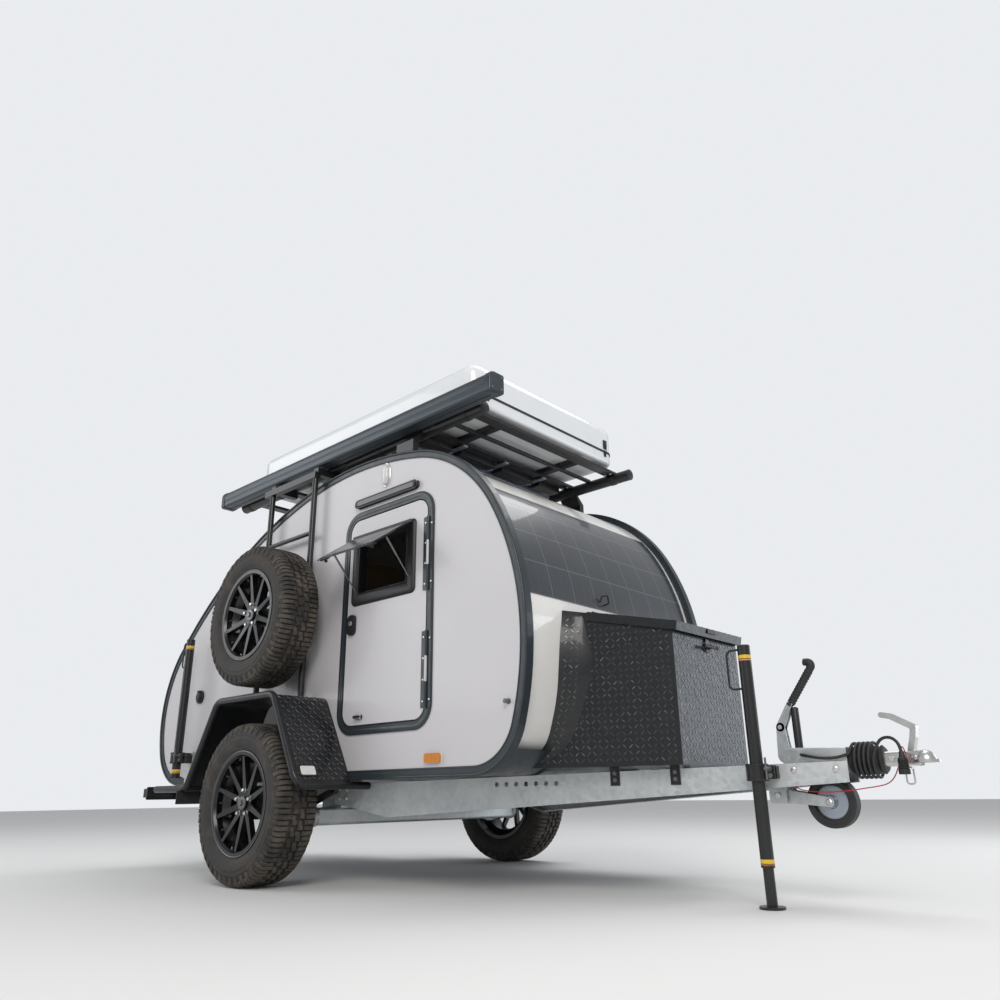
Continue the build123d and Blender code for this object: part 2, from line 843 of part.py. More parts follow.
def build_coupling():
    """Drawtube, neck and ball head with its open socket."""
    head_radius = coupling_ball_diameter / 2 + 11
    tube = rod((housing_front_x, 0, draw_axis_z), (bellows_front_x + 20, 0, draw_axis_z), drawtube_diameter - 0.4)
    neck = block(bellows_front_x, coupling_ball_x - 12, -27, 27, draw_axis_z - 24, draw_axis_z + 26)
    neck = fillet(neck.edges().filter_by(Axis.X), 11)
    dome = Pos(coupling_ball_x, 0, coupling_ball_z) * Sphere(head_radius)
    skirt = rod((coupling_ball_x, 0, coupling_ball_z - 6), (coupling_ball_x, 0, coupling_ball_z + 4), 2 * coupling_skirt)
    head = dome + skirt
    head -= block(bellows_front_x, far, -far, far, 0, coupling_ball_z - 6)
    socket = Pos(coupling_ball_x, 0, coupling_ball_z) * Sphere(coupling_ball_diameter / 2 + 0.5)
    mouth = rod((coupling_ball_x, 0, coupling_ball_z - 20), (coupling_ball_x, 0, coupling_ball_z), coupling_ball_diameter + 1)
    return tube + neck + head - socket - mouth


def build_coupling_handle(head):
    """Lift handle of the ball head."""
    path = [Pos(coupling_ball_x + x, coupling_ball_z + z) * Circle(handle_bar / 2) for x, z in handle_path]
    handle = make_hull((path[0] + path[1]).edges())
    for a, b in zip(path[1:], path[2:]):
        handle += make_hull((a + b).edges())
    return across(handle, -handle_half, handle_half) - head


def build_lever(housing):
    """Handbrake lever with its grip, and the gas strut beside it."""
    half = lever_width / 2
    sizes = [26, 17, 11, 17, 17, 17]
    ends = [Pos(housing_rear_x + x, housing_top + z) * Circle(size) for (x, z), size in zip(lever_path, sizes)]
    runs = [make_hull((a + b).edges()) for a, b in zip(ends, ends[1:])]
    lever = across(runs[0] + runs[1], -half, half) + across(runs[2] + runs[3] + runs[4], -half - 3, half + 3)
    x, z = housing_rear_x + 50, housing_top + 149
    strut = rod((x, 0, housing_top - 21), (x, 0, z), 30) + rod((x, 0, z - 10), (x - 8, 0, z + 14), 12)
    return lever - housing, strut - housing - lever


# Wheels


def build_tyre():
    """Hollow tyre round the Y axis at the origin, beads inside and a crowned tread outside."""
    half, outer = tyre_width / 2, tyre_diameter / 2
    seat = bead_diameter / 2
    bead_y = rim_width / 2 - rim_wall
    shoulder = outer - tyre_crown_radius
    lip = rim_flange_diameter / 2 + 1
    heel = bead_y - 0.3
    side = ThreePointArc((heel, lip), (half, (lip + shoulder) / 2 - 2), (half - 8, shoulder))
    edge = ThreePointArc((half - 8, shoulder), (half - 15, outer - 12), (half - 34, outer - 4))
    crown = ThreePointArc((half - 34, outer - 4), (0, outer), (-(half - 34), outer - 4))
    inner_half, inner_outer = half - 11, outer - 17
    inner_side = ThreePointArc((bead_y - 18, seat), (inner_half, (seat + shoulder) / 2 - 4), (inner_half - 12, shoulder))
    inner_crown = ThreePointArc((inner_half - 12, shoulder), (0, inner_outer), (-(inner_half - 12), shoulder))
    edges = [side, edge, crown, mirror(edge, Plane.YZ), mirror(side, Plane.YZ)]
    edges += [inner_side, inner_crown, mirror(inner_side, Plane.YZ)]
    edges += [Line((heel, lip), (heel, seat)), Line((-heel, lip), (-heel, seat))]
    edges += [Line((heel, seat), (bead_y - 18, seat)), Line((-heel, seat), (-bead_y + 18, seat))]
    return Rot(0, 0, 90) * revolve(Plane.XY * make_face(edges), Axis.X, 360)


def build_rim():
    """Spoked rim round the Y axis, outer face towards +Y."""
    half, seat, flange = rim_width / 2, bead_diameter / 2 - 0.3, rim_flange_diameter / 2
    well = seat - 30
    outside = [(-half, flange), (-half + rim_wall, flange), (-half + rim_wall, seat), (-half + 34, seat), (-half + 52, well)]
    outside += [(half - 70, well), (half - 38, seat), (half - rim_wall, seat), (half - rim_wall, flange), (half, flange)]
    inside = [(half, seat - 4), (half - 12, seat - 12), (half - 42, seat - 12), (half - 74, well - 7), (-half + 48, well - 7)]
    inside += [(-half + 30, seat - 9), (-half, seat - 4)]
    barrel = revolve(Plane.XY * make_face(Polyline(*outside, *inside, close=True)), Axis.X, 360)
    hub = rod((wheel_offset, 0, 0), (wheel_offset + 30, 0, 0), 2 * wheel_hub_radius)
    cap = rod((wheel_offset + 24, 0, 0), (wheel_offset + 37, 0, 0), wheel_bore + 8)
    spokes = []
    for i in range(spoke_count):
        angle = 360 / spoke_count * i
        root = Plane(origin=(wheel_offset + 17, 0, wheel_hub_radius - 16), x_dir=(0, 1, 0), z_dir=(0, 0, 1))
        tip = Plane(origin=(half - 24, 0, seat - 10), x_dir=(0, 1, 0), z_dir=(0, 0, 1))
        spoke = loft([root * Rectangle(spoke_width_hub, 24), tip * Rectangle(spoke_width_rim, spoke_thickness)])
        spokes.append(Rot(angle, 0, 0) * spoke)
    wheel = barrel + hub + cap + spokes
    wheel -= rod((0, 0, 0), (wheel_offset + 22, 0, 0), wheel_bore)
    for i in range(5):
        turn = math.radians(72 * i + 18)
        y, z = wheel_bolt_circle / 2 * math.cos(turn), wheel_bolt_circle / 2 * math.sin(turn)
        wheel -= rod((0, y, z), (wheel_offset + 60, y, z), wheel_bolt_hole)
    return Rot(0, 0, 90) * wheel


def build_drum():
    """Brake drum and hub of the left wheel, running on the stub."""
    face_y = wheel_y + wheel_offset
    drum = rod((0, drum_inner_y + 5, axle_height), (0, drum_inner_y + 68, axle_height), drum_diameter)
    drum += rod((0, drum_inner_y + 60, axle_height), (0, face_y, axle_height), 150)
    drum -= rod((0, drum_inner_y, axle_height), (0, face_y - 14, axle_height), stub_diameter + 2 * pin_clearance)
    return drum


# Fenders


def fender_line():
    """Corner points of the fender's side line in X and Z, from the tail lip to the front foot."""
    foot, top = fender_half_foot, fender_half_top
    return [
        (fender_centre_x - foot - fender_lip, fender_foot_z),
        (fender_centre_x - foot, fender_foot_z),
        (fender_centre_x - top, fender_top_z),
        (fender_centre_x + top, fender_top_z),
        (fender_centre_x + foot, fender_foot_z),
    ]


def build_fender(drawbar, chassis):
    """Left fender: bent sheet with a tube round its outer edge."""
    line = fender_line()
    sheet_path = FilletPolyline(*line[1:], radius=fender_bend)
    sheet = across(trace(sheet_path, fender_sheet), wall_outer, fender_outer_y)
    sheet -= block(-far, far, wall_outer - 1, wall_outer + trim_sheet + 0.3, 0, body_bottom + trim_face + 1)
    front = line[-1]
    points = [(x, fender_outer_y, z) for x, z in line]
    points += [(front[0], rail_face_y(front[0]) - 3, front[1])]
    tube = bent_bar(points, fender_bend, fender_tube)
    rear = line[1][0]
    strut = rod((rear, fender_outer_y, fender_foot_z), (rear, side_member_y, fender_foot_z), fender_tube - 6)
    fender = sheet + tube + strut
    return largest(fender - drawbar - chassis)


def build_reflector():
    """Left reflector on the front slope of the fender."""
    run = fender_half_foot - fender_half_top
    slope = math.atan2(fender_top_z - fender_foot_z, run)
    plane = Plane(
        origin=(fender_centre_x + fender_half_foot, 0, fender_foot_z),
        x_dir=(-math.cos(slope), 0, math.sin(slope)),
        z_dir=(math.sin(slope), 0, math.cos(slope)),
    )
    long, wide = reflector_size
    lens = plane.offset(fender_sheet / 2) * Pos(reflector_rise, -reflector_y) * RectangleRounded(long, wide, 12)
    return extrude(lens, 10)


def build_flap(fender):
    """Left mud flap under the tail of the fender."""
    rear = fender_centre_x - fender_half_foot - 30
    low = wheel_y - flap_width / 2
    flap = block(rear - 6, rear, low, low + flap_width, flap_foot_z, fender_foot_z - fender_tube / 2 + 8)
    return flap - fender


# Roof load


def build_posts(spare):
    """Left pair of posts on the fender, with rung, beam and arms to the rack; the right pair holds the spare."""
    foot = fender_top_z + fender_sheet / 2
    frame = block(post_rear_x - 60, post_front_x + beam_size / 2, post_y - beam_size / 2, post_y + beam_size / 2,
                  beam_z - beam_size / 2, beam_z + beam_size / 2)
    for x in (post_rear_x, post_front_x):
        frame += rod((x, post_y, foot), (x, post_y, beam_z), post_diameter)
        frame += block(x - 30, x + 30, post_y - 28, post_y + 28, foot, foot + 5)
        arm = block(x - 20, x + 20, rail_y - 24, post_y, beam_z + 4, rail_z - rail_diameter / 2 + 8)
        frame += arm - rod((x - 50, rail_y, rail_z), (x + 50, rail_y, rail_z), rail_diameter)
    frame += rod((post_rear_x, post_y, rung_z), (post_front_x, post_y, rung_z), post_diameter - 8)
    if spare:
        for z in (spare_z - carrier_rise, spare_z + carrier_rise):
            frame += rod((post_rear_x, post_y, z), (post_front_x, post_y, z), carrier_bar)
        frame += block(spare_x - 75, spare_x + 75, post_y + carrier_bar / 2 - 3, post_y + carrier_bar / 2 + 6,
                       spare_z - carrier_rise - 15, spare_z + carrier_rise + 15)
        frame += rod((spare_x, post_y + carrier_bar / 2, spare_z), (spare_x, spare_y + wheel_offset, spare_z), 96)
    return frame


def build_rack():
    """Two round rails, and the two channels that the tent stands on."""
    rails = []
    for y in (-rail_y, rail_y):
        bore = rod((rail_rear_x + 12, y, rail_z), (rail_front_x - 12, y, rail_z), rail_diameter - 2 * rail_wall)
        rails.append(rod((rail_rear_x, y, rail_z), (rail_front_x, y, rail_z), rail_diameter) - bore)
    for y in (-mount_channel_y, mount_channel_y):
        rails.append(block(tent_rear_x + 60, tent_front_x - 60, y - 20, y + 20, slat_top, tent_base_z))
    return rails


def build_slats():
    """Flat slats from rail to rail."""
    slats = []
    for i in range(slat_count):
        x = slat_first_x - i * slat_pitch
        slat = block(x - slat_width / 2, x + slat_width / 2, -rail_y, rail_y, slat_top - slat_height, slat_top)
        for y in (-rail_y, rail_y):
            slat -= rod((x - slat_width, y, rail_z), (x + slat_width, y, rail_z), rail_diameter)
        slats.append(largest(slat))
    return slats


def build_foot():
    """Left front foot of the rack, standing on the wall's edge cover."""
    face = Polyline(
        (wall_inner - trim_sheet + 1, rail_z - 230),
        (wall_outer + trim_sheet - 1, rail_z - 230),
        (wall_outer + trim_sheet - 1, rail_z - 66),
        (rail_y + rail_diameter / 2 + 4, rail_z - 18),
        (rail_y + rail_diameter / 2 + 4, rail_z + 6),
        (rail_y + 4, rail_z + 6),
        (wall_inner - trim_sheet + 1, rail_z - 74),
        close=True,
    )
    foot = along(make_face(face), foot_x[0], foot_x[1])
    foot -= across(setback_face(-edge_cover), 0, far)
    return foot - rod((rail_rear_x, rail_y, rail_z), (rail_front_x, rail_y, rail_z), rail_diameter)


def build_awning():
    """Awning case on the right rail, with end caps and brackets."""
    outer, inner = -awning_outer_y, -rail_y - rail_diameter / 2 - 7
    foot, head = awning_foot_z, awning_foot_z + awning_height
    face = Polyline((inner, foot + 14), (inner - 16, foot), (outer + 8, foot), (outer, foot + 10),
                    (outer, head - 30), (outer + 22, head), (inner, head), close=True)
    case = along(make_face(face), awning_rear_x + awning_end_cap, awning_front_x - awning_end_cap)
    cap_face = offset(make_face(face), amount=3)
    for x0, x1 in ((awning_rear_x, awning_rear_x + awning_end_cap), (awning_front_x - awning_end_cap, awning_front_x)):
        cap = along(cap_face, x0, x1)
        case += cap
    for x in awning_bracket_places:
        bracket = block(x - 35, x + 35, inner - 4, -rail_y - rail_diameter / 2 + 18, rail_z - 12, rail_z + 40)
        case += bracket - rod((x - 60, -rail_y, rail_z), (x + 60, -rail_y, rail_z), rail_diameter)
    return case


def tent_plan(inset):
    length = tent_front_x - tent_rear_x - 2 * inset
    plan = RectangleRounded(length, 2 * tent_half_width - 2 * inset, tent_corner - inset)
    return Pos((tent_front_x + tent_rear_x) / 2, 0) * plan


def build_tent_base():
    """Lower shell of the roof tent: an open tray with a rounded keel edge."""
    tray = upward(tent_plan(0), tent_base_z, tent_split_z - 1)
    tray = fillet(tray.faces().sort_by(Axis.Z)[0].edges(), 20)
    tray -= upward(tent_plan(tent_wall), tent_base_z + tent_wall, tent_split_z)
    return tray + tent_hinge(False)


def build_tent_lid():
    """Upper shell of the roof tent, hollow, with a rounded crown and hinge knuckles at its rear."""
    lid = upward(tent_plan(0), tent_split_z, tent_top_z)
    lid = fillet(lid.faces().sort_by(Axis.Z)[-1].edges(), tent_crown)
    hollow = upward(tent_plan(tent_wall), tent_split_z - 1, tent_top_z - tent_wall)
    hollow = fillet(hollow.faces().sort_by(Axis.Z)[-1].edges(), tent_crown - tent_wall)
    return lid - hollow + tent_hinge(True)


def tent_hinge(moving):
    """Barrels of the two tent hinges behind the shells: the tray's ends, or the lid's middles."""
    piece = None
    for y in tent_hinge_places:
        spans = [(y - 14.5, y + 14.5)] if moving else [(y - 40, y - 15), (y + 15, y + 40)]
        for first, last in spans:
            barrel = rod((tent_hinge_x, first, tent_hinge_z), (tent_hinge_x, last, tent_hinge_z), 13)
            low = tent_hinge_z + 2 if moving else tent_hinge_z - 22
            barrel += block(tent_hinge_x, tent_rear_x + 2, first, last, low, low + 20)
            piece = barrel if piece is None else piece + barrel
        pin = rod((tent_hinge_x, y - 40, tent_hinge_z), (tent_hinge_x, y + 40, tent_hinge_z), hinge_pin)
        bore = rod((tent_hinge_x, y - 40, tent_hinge_z), (tent_hinge_x, y + 40, tent_hinge_z), hinge_pin + 2 * pin_clearance)
        piece = piece - bore if moving else piece + pin
    return piece


# Front box


def box_half(x):
    """Half width of the box at place x."""
    return box_rear_half + (box_front_half - box_rear_half) * (x - box_rear_x) / (box_front_x - box_rear_x)


def box_plan(inset, rear_x):
    front = box_front_x - inset
    return make_face(Polyline(
        (rear_x, -box_half(rear_x) + inset),
        (front, -box_half(box_front_x) + inset),
        (front, box_half(box_front_x) - inset),
        (rear_x, box_half(rear_x) - inset),
        close=True,
    ))


def box_rim_z(x):
    return box_rear_top_z - box_slope * (x - box_rear_x)


def body_solid():
    """The closed outline of the body, skin and floor pan."""
    skin = across(setback_face(skin_setback), -wall_outer, wall_outer)
    pan = across(setback_face(0), -wall_outer, wall_outer) & floor_zone
    return skin + pan


def box_hinge_knuckles(moving):
    """Low and high ends of the knuckles along the box's piano hinge."""
    if moving:
        return [(-250, -150), (-50, 50), (150, 250)]
    return [(-340, -252), (-148, -52), (52, 148), (252, 340)]


def box_flare_solid(inset):
    """Left wedge along the body where the side sheet bends outwards."""
    sections = []
    for z, bulge, reach in box_flare:
        nose = nose_wall_x(z, skin_setback)
        points = [(nose + reach, box_half(nose + reach) - inset), (nose, box_half(nose) + bulge - inset),
                  (nose - 60, box_half(nose - 60) + bulge - inset), (nose - 60, box_half(nose + reach) - 60)]
        sections.append(Pos(0, 0, z) * make_face(Polyline(*points, close=True)))
    return loft(sections, ruled=True)


def box_inside_of(inset, low, high):
    """The room inside the box's side sheets, or the box's outer form with inset 0."""
    rear = box_back_x - 184
    flare = box_flare_solid(inset) & block(0, far, -far, far, low, high)
    return upward(box_plan(inset, rear - inset), low, high) + flare + twin(flare)


def build_box():
    """Front box: sides that follow the body, a back panel, a floor, a fixed top strip, hinge knuckles and tabs."""
    low, high = box_foot_z, box_rear_top_z + 60
    shell = box_inside_of(0, low, high) - box_inside_of(box_sheet, low + box_sheet, high + 50)
    back = upward(box_plan(box_sheet / 2, box_back_x - 1), low, high)
    shell += back & block(box_back_x, box_back_x + box_sheet, -far, far, low, high)
    shell -= upward(box_plan(30, box_back_x - 300), low - 5, low + 10) & block(0, box_back_x - 1, -far, far, 0, high)
    rear, front = box_back_x - 200, box_front_x + 200
    rim = Polyline((rear, box_rim_z(rear)), (front, box_rim_z(front)), (front, high + 99), (rear, high + 99), close=True)
    shell -= across(make_face(rim), -far, far)
    edge = box_hinge_x - box_hinge_barrel / 2 - 1
    strip = Polyline((rear, box_rim_z(rear)), (edge, box_rim_z(edge)), (edge, box_rim_z(edge) - box_sheet),
                     (rear, box_rim_z(rear) - box_sheet), close=True)
    shell += across(make_face(strip), -far, far) & upward(box_plan(box_sheet / 2, box_back_x - 184), low, high)
    axis_z = box_hinge_z
    for first, last in box_hinge_knuckles(False):
        shell += rod((box_hinge_x, first, axis_z), (box_hinge_x, last, axis_z), box_hinge_barrel)
        shell += block(edge - 10, box_hinge_x, first, last, box_rim_z(edge) - 4, axis_z)
    shell += rod((box_hinge_x, -340, axis_z), (box_hinge_x, 340, axis_z), hinge_pin)
    shell -= body_solid()
    plane = rail_plane()
    for x in box_tab_x:
        tab = extrude(plane * Pos(rail_station(x), low - 34) * Rectangle(40, 76), 4)
        shell += tab + twin(tab)
    front = box_front_x
    shell += block(front - 1, front + 7, -latch_half, latch_half, latch_foot_z - 12, box_front_top_z - lid_lip - 8)
    shell += rod((front, 0, latch_foot_z + 8), (front + 26, 0, latch_foot_z + 8), 16)
    return shell + rod((front + 22, -44, latch_foot_z + 8), (front + 22, 44, latch_foot_z + 8), 11)


def build_lid():
    """Lid of the front box, with its lips and hinge knuckles."""
    tilt = math.atan(box_slope)
    plane = Plane(
        origin=(box_hinge_x, 0, box_rim_z(box_hinge_x) + slide_clearance),
        x_dir=(math.cos(tilt), 0, -math.sin(tilt)),
        z_dir=(math.sin(tilt), 0, math.cos(tilt)),
    )
    rear = box_hinge_barrel / 2 + 1.5
    front = (box_front_x - box_hinge_x) / math.cos(tilt) + lid_front_overhang
    half_rear, half_front = box_half(box_hinge_x) + lid_overhang, box_half(box_front_x) + lid_overhang
    outer = make_face(Polyline((rear, -half_rear), (front, -half_front), (front, half_front), (rear, half_rear), close=True))
    wall = lid_overhang - door_gap
    hollow = make_face(Polyline((rear - 20, -half_rear + wall - 6), (front - wall, -half_front + wall),
                                (front - wall, half_front - wall), (rear - 20, half_rear - wall + 6), close=True))
    lid = extrude(plane * outer, box_sheet) + extrude(plane * (outer - hollow), -lid_lip)
    for first, last in box_hinge_knuckles(True):
        lid += extrude(plane * Pos(rear / 2, (first + last) / 2) * Rectangle(rear + 2, last - first), box_sheet)
        lid += rod((box_hinge_x, first, box_hinge_z), (box_hinge_x, last, box_hinge_z), box_hinge_barrel)
    return lid - rod((box_hinge_x, -400, box_hinge_z), (box_hinge_x, 400, box_hinge_z), hinge_pin + 2 * pin_clearance)


# Stands


def build_stand(x, y, top):
    """Prop stand: tube with an upper grip loop, yellow band seats, inner leg and foot plate."""
    foot = top - stand_length
    stand = rod((x, y, foot), (x, y, top), stand_diameter)
    out, drop = x - stand_loop_reach, top - 8 - stand_loop_drop
    loop = bent_bar([(x, y, top - 8), (out, y, top - 8), (out, y, drop), (x, y, drop)], 22, stand_loop_wire)
    return stand + loop


def build_front_stand():
    stand = build_stand(front_stand_x, -front_stand_y, front_stand_top)
    low = front_stand_top - stand_length
    stand += rod((front_stand_x, -front_stand_y, 6), (front_stand_x, -front_stand_y, low), stand_leg_diameter)
    return stand + rod((front_stand_x, -front_stand_y, 0), (front_stand_x, -front_stand_y, 8), stand_foot_diameter)


def build_rear_stand():
    stand = build_stand(rear_stand_x, rear_stand_y, rear_stand_top)
    low = rear_stand_top - stand_length
    return stand + rod((rear_stand_x, rear_stand_y, low - 8), (rear_stand_x, rear_stand_y, low), stand_foot_diameter - 14)


def build_clamps(drawbar):
    """Clamps of the front stand on the right rail and of the rear stands on their plates."""
    bore = stand_diameter + 2 * slide_clearance
    half = clamp_height / 2
    x, y = front_stand_x, -front_stand_y
    ring_part = rod((x, y, clamp_z - half), (x, y, clamp_z + half), clamp_diameter)
    arm = block(x - 45, x + 45, y, -rail_face_y(x + 45) + 6, clamp_z - 22, clamp_z + 22)
    front = ring_part + arm - drawbar - rod((x, y, clamp_z - 2 * half), (x, y, clamp_z + 2 * half), bore) - inside_rails()
    x, y = rear_stand_x, rear_stand_y
    ring_part = rod((x, y, rear_clamp_z - half), (x, y, rear_clamp_z + half), clamp_diameter)
    arm = block(x - 30, x + 30, stand_plate_y + stand_plate, y, rear_clamp_z - 28, rear_clamp_z + 28)
    rear = ring_part + arm - rod((x, y, rear_clamp_z - 2 * half), (x, y, rear_clamp_z + 2 * half), bore)
    return front, rear


# Jockey wheel


def build_jockey_leg():
    """Folded jockey leg: two cheeks on the pivot pin, a web between them and the wheel's axle."""
    face = make_hull((Pos(jockey_pivot_x, jockey_pivot_z) * Circle(24) + Pos(jockey_wheel_x, jockey_wheel_z) * Circle(17)).edges())
    half = jockey_plate / 2
    leg = across(face, -jockey_cheek_y - half, -jockey_cheek_y + half)
    leg += across(face, jockey_cheek_y - half, jockey_cheek_y + half)
    web = block(jockey_pivot_x - 22, jockey_pivot_x + 76, -jockey_cheek_y, jockey_cheek_y, jockey_pivot_z - 22, jockey_pivot_z - 16)
    leg += web & across(face, -60, 60)
    leg += rod((jockey_wheel_x, -jockey_cheek_y, jockey_wheel_z), (jockey_wheel_x, jockey_cheek_y, jockey_wheel_z), jockey_pin)
    return leg - rod((jockey_pivot_x, -60, jockey_pivot_z), (jockey_pivot_x, 60, jockey_pivot_z), jockey_pin + 2 * pin_clearance)


def build_jockey_wheel():
    """Jockey wheel with a dished disc and a round tread."""
    half, outer = jockey_wheel_width / 2, jockey_wheel_diameter / 2
    points = [(-half, outer - 26), (-half, outer - 8), (-half + 9, outer), (half - 9, outer), (half, outer - 8), (half, outer - 26)]
    points += [(14, outer - 30), (14, 20), (half - 2, 20), (half - 2, jockey_pin / 2 + pin_clearance)]
    points += [(-half + 2, jockey_pin / 2 + pin_clearance), (-half + 2, 20), (-14, 20), (-14, outer - 30)]
    wheel = revolve(Plane.XY * make_face(Polyline(*points, close=True)), Axis.X, 360)
    return Pos(jockey_wheel_x, 0, jockey_wheel_z) * (Rot(0, 0, 90) * wheel)


# Cords


def cord_path(points):
    """A route of straight runs joined by arcs as wide as the runs allow."""
    radii = []
    for before, here, after in zip(points, points[1:], points[2:]):
        first = Vector(*here) - Vector(*before)
        second = Vector(*after) - Vector(*here)
        turn = math.radians(first.get_angle(second))
        radii.append(0.45 * min(first.length, second.length) / math.tan(turn / 2))
    return FilletPolyline(*points, radius=radii), radii


def build_cord(name, points, diameter):
    path, radii = cord_path([(housing_front_x + x, y, z) for x, y, z in points])
    tube = sweep(Plane(origin=path @ 0, z_dir=path % 0) * Circle(diameter / 2), path=path)
    wanted = math.pi * diameter ** 2 / 4 * path.length
    print(name, "length", round(path.length), "tightest arc", round(min(radii), 1), "volume ratio",
          round(tube.volume / wanted, 4))
    return tube


def build_coil():
    """Outer shape of the lead's turns round the bellows."""
    inner = bellows_diameter / 2 + slide_clearance
    face = make_face(Polyline((coil_rear_x, inner), (coil_front_x, inner), (coil_front_x, coil_outer_diameter / 2),
                              (coil_rear_x, coil_outer_diameter / 2), close=True))
    return Pos(0, 0, draw_axis_z) * revolve(Plane.XY * face, Axis.X, 360)


def build_plug():
    x, y, z = lead_tail[-1]
    x += housing_front_x
    plug = rod((x, y, z - plug_length), (x, y, z - 16), plug_diameter)
    return plug + rod((x, y, z - 18), (x, y, z), plug_diameter * 0.6)


def build_snap_hook():
    """Wire snap hook hanging from the breakaway cable."""
    x, y, z = breakaway_run[-1]
    x += housing_front_x
    half, drop, step = 13, 58, hook_wire / 2
    corners = [(x - half, y, z - step), (x + half, y, z - step), (x + half, y, z - drop), (x - half, y, z - drop)]
    path = FilletPolyline(*corners, radius=10, close=True)
    return sweep(Plane(origin=path @ 0, z_dir=path % 0) * Circle(hook_wire / 2), path=path)


# Lamps and panel


def build_solar():
    band = across(ring(skin_setback - 3, skin_setback), -solar_half, solar_half)
    return band & block(0, far, -far, far, solar_foot_z, solar_head_z)


def build_side_lamps():
    """Left work lamp over the door and gable lamp."""
    y = wall_outer
    work = block(work_lamp_x[0], work_lamp_x[1], y, y + 26, work_lamp_z[0], work_lamp_z[1])
    gable = Pos(gable_lamp_x, y, gable_lamp_z) * Rot(-90, 0, 0) * extrude(Ellipse(*gable_lamp_half), 22)
    return [work, gable, build_reflector()]


def build_marker():
    return block(marker_x[0], marker_x[1], wall_outer, wall_outer + 15, marker_z[0], marker_z[1])


def build_knob():
    """Left holdback knob of the opened door."""
    return rod((holdback_x, wall_outer, catch_z), (holdback_x, wall_outer + 24, catch_z), 15)


def build_outlet():
    """Round power inlet in the right wall."""
    return rod((outlet_x, -wall_outer, outlet_z), (outlet_x, -wall_outer - 12, outlet_z), outlet_diameter)


def build_tail():
    """Rear lamp beam with its left lamp."""
    reach = wall_outer + tail_beam_overhang
    beam = block(tail_x + 12, tail_x + 62, -reach, reach, 392, 442)
    for y in (-side_member_y, side_member_y):
        beam += block(tail_x + 60, side_member_rear, y - 18, y + 18, 395, 440)
    outer = wall_outer + tail_lamp_overhang
    return beam, block(tail_x, tail_x + 12, outer - tail_lamp_width, outer, 380, 452)


def build_all():
    floor = build_floor()
    save("floor_pan", floor)
    wall = build_wall()
    save("wall_left", wall)
    save("wall_right", twin(wall))
    cover, frame = build_trims(floor)
    knob = build_knob()
    save("wall_trims", cover, twin(cover), frame, twin(frame), knob, twin(knob), build_outlet())
    roof = build_roof()
    for y in hatch_hinge_places:
        roof += hatch_hinge(y, False)
    save("roof_skin", roof)
    save("galley", build_galley())
    save("hatch", build_hatch())
    door = build_door()
    save("door_left", door)
    save("door_right", twin(door))
    save("window_left", *build_window(0))
    save("window_right", *[twin(piece) for piece in build_window(pane_open_angle)])
    drawbar = build_drawbar()
    save("drawbar", drawbar)
    chassis = build_chassis(drawbar)
    save("chassis", chassis)
    save("axle", build_axle())
    shock = build_shock(drawbar, chassis)
    save("shock_absorbers", shock, twin(shock))
    housing = build_housing(drawbar)
    save("overrun_housing", housing)
    save("bellows", build_bellows())
    head = build_coupling()
    save("coupling_head", head)
    save("coupling_handle", build_coupling_handle(head))
    lever, strut = build_lever(housing)
    save("handbrake_lever", lever, strut)
    fender = build_fender(drawbar, chassis)
    save("fender_left", fender)
    save("fender_right", twin(fender))
    flap = build_flap(fender)
    save("mud_flaps", flap, twin(flap))
    tyre, rim = build_tyre(), build_rim()
    for node, y in (("left", wheel_y), ("right", -wheel_y)):
        place = Pos(0, y, axle_height)
        save("tyre_" + node, place * tyre)
        save("rim_" + node, place * (rim if y > 0 else twin(rim)))
    drum = build_drum()
    save("drum_left", drum)
    save("drum_right", twin(drum))
    save("spare_tyre", Pos(spare_x, -spare_y, spare_z) * tyre)
    save("spare_rim", Pos(spare_x, -spare_y, spare_z) * twin(rim))
    save("posts_left", build_posts(False))
    save("posts_right", twin(build_posts(True)))
    save("roof_rack", *build_rack())
    save("rack_slats", *build_slats())
    foot = build_foot()
    save("rack_feet", foot, twin(foot))
    save("awning_case", build_awning())
    save("tent_base", build_tent_base())
    save("tent_lid", build_tent_lid())
    save("front_box", build_box())
    save("box_lid", build_lid())
    save("front_stand", build_front_stand())
    stand = build_rear_stand()
    save("rear_stand_left", stand)
    save("rear_stand_right", twin(stand))
    front, rear = build_clamps(drawbar)
    save("stand_clamps", front, rear, twin(rear))
    save("jockey_leg", build_jockey_leg())
    save("jockey_wheel", build_jockey_wheel())
    save("solar_panel", build_solar())
    lamps = build_side_lamps()
    save("side_lamps", *lamps, *[twin(piece) for piece in lamps])
    marker = build_marker()
    save("marker_lamps", marker, twin(marker))
    beam, lamp = build_tail()
    save("tail_beam", beam)
    save("tail_lamps", lamp, twin(lamp))
    coil = build_coil()
    save("lead_coil", coil)
    save("lead_run", largest(build_cord("lead_run", lead_run, lead_diameter) - coil - housing))
    plug = build_plug()
    save("lead_tail", largest(build_cord("lead_tail", lead_tail, lead_diameter) - coil - plug))
    save("lead_plug", plug)
    hook = build_snap_hook()
    cable = build_cord("breakaway_cable", breakaway_run, breakaway_diameter)
    save("breakaway_cable", largest(cable - drawbar - hook))
    save("snap_hook", hook)


build_all()
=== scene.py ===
import math

import bmesh
import bpy
from mathutils import Matrix, Vector


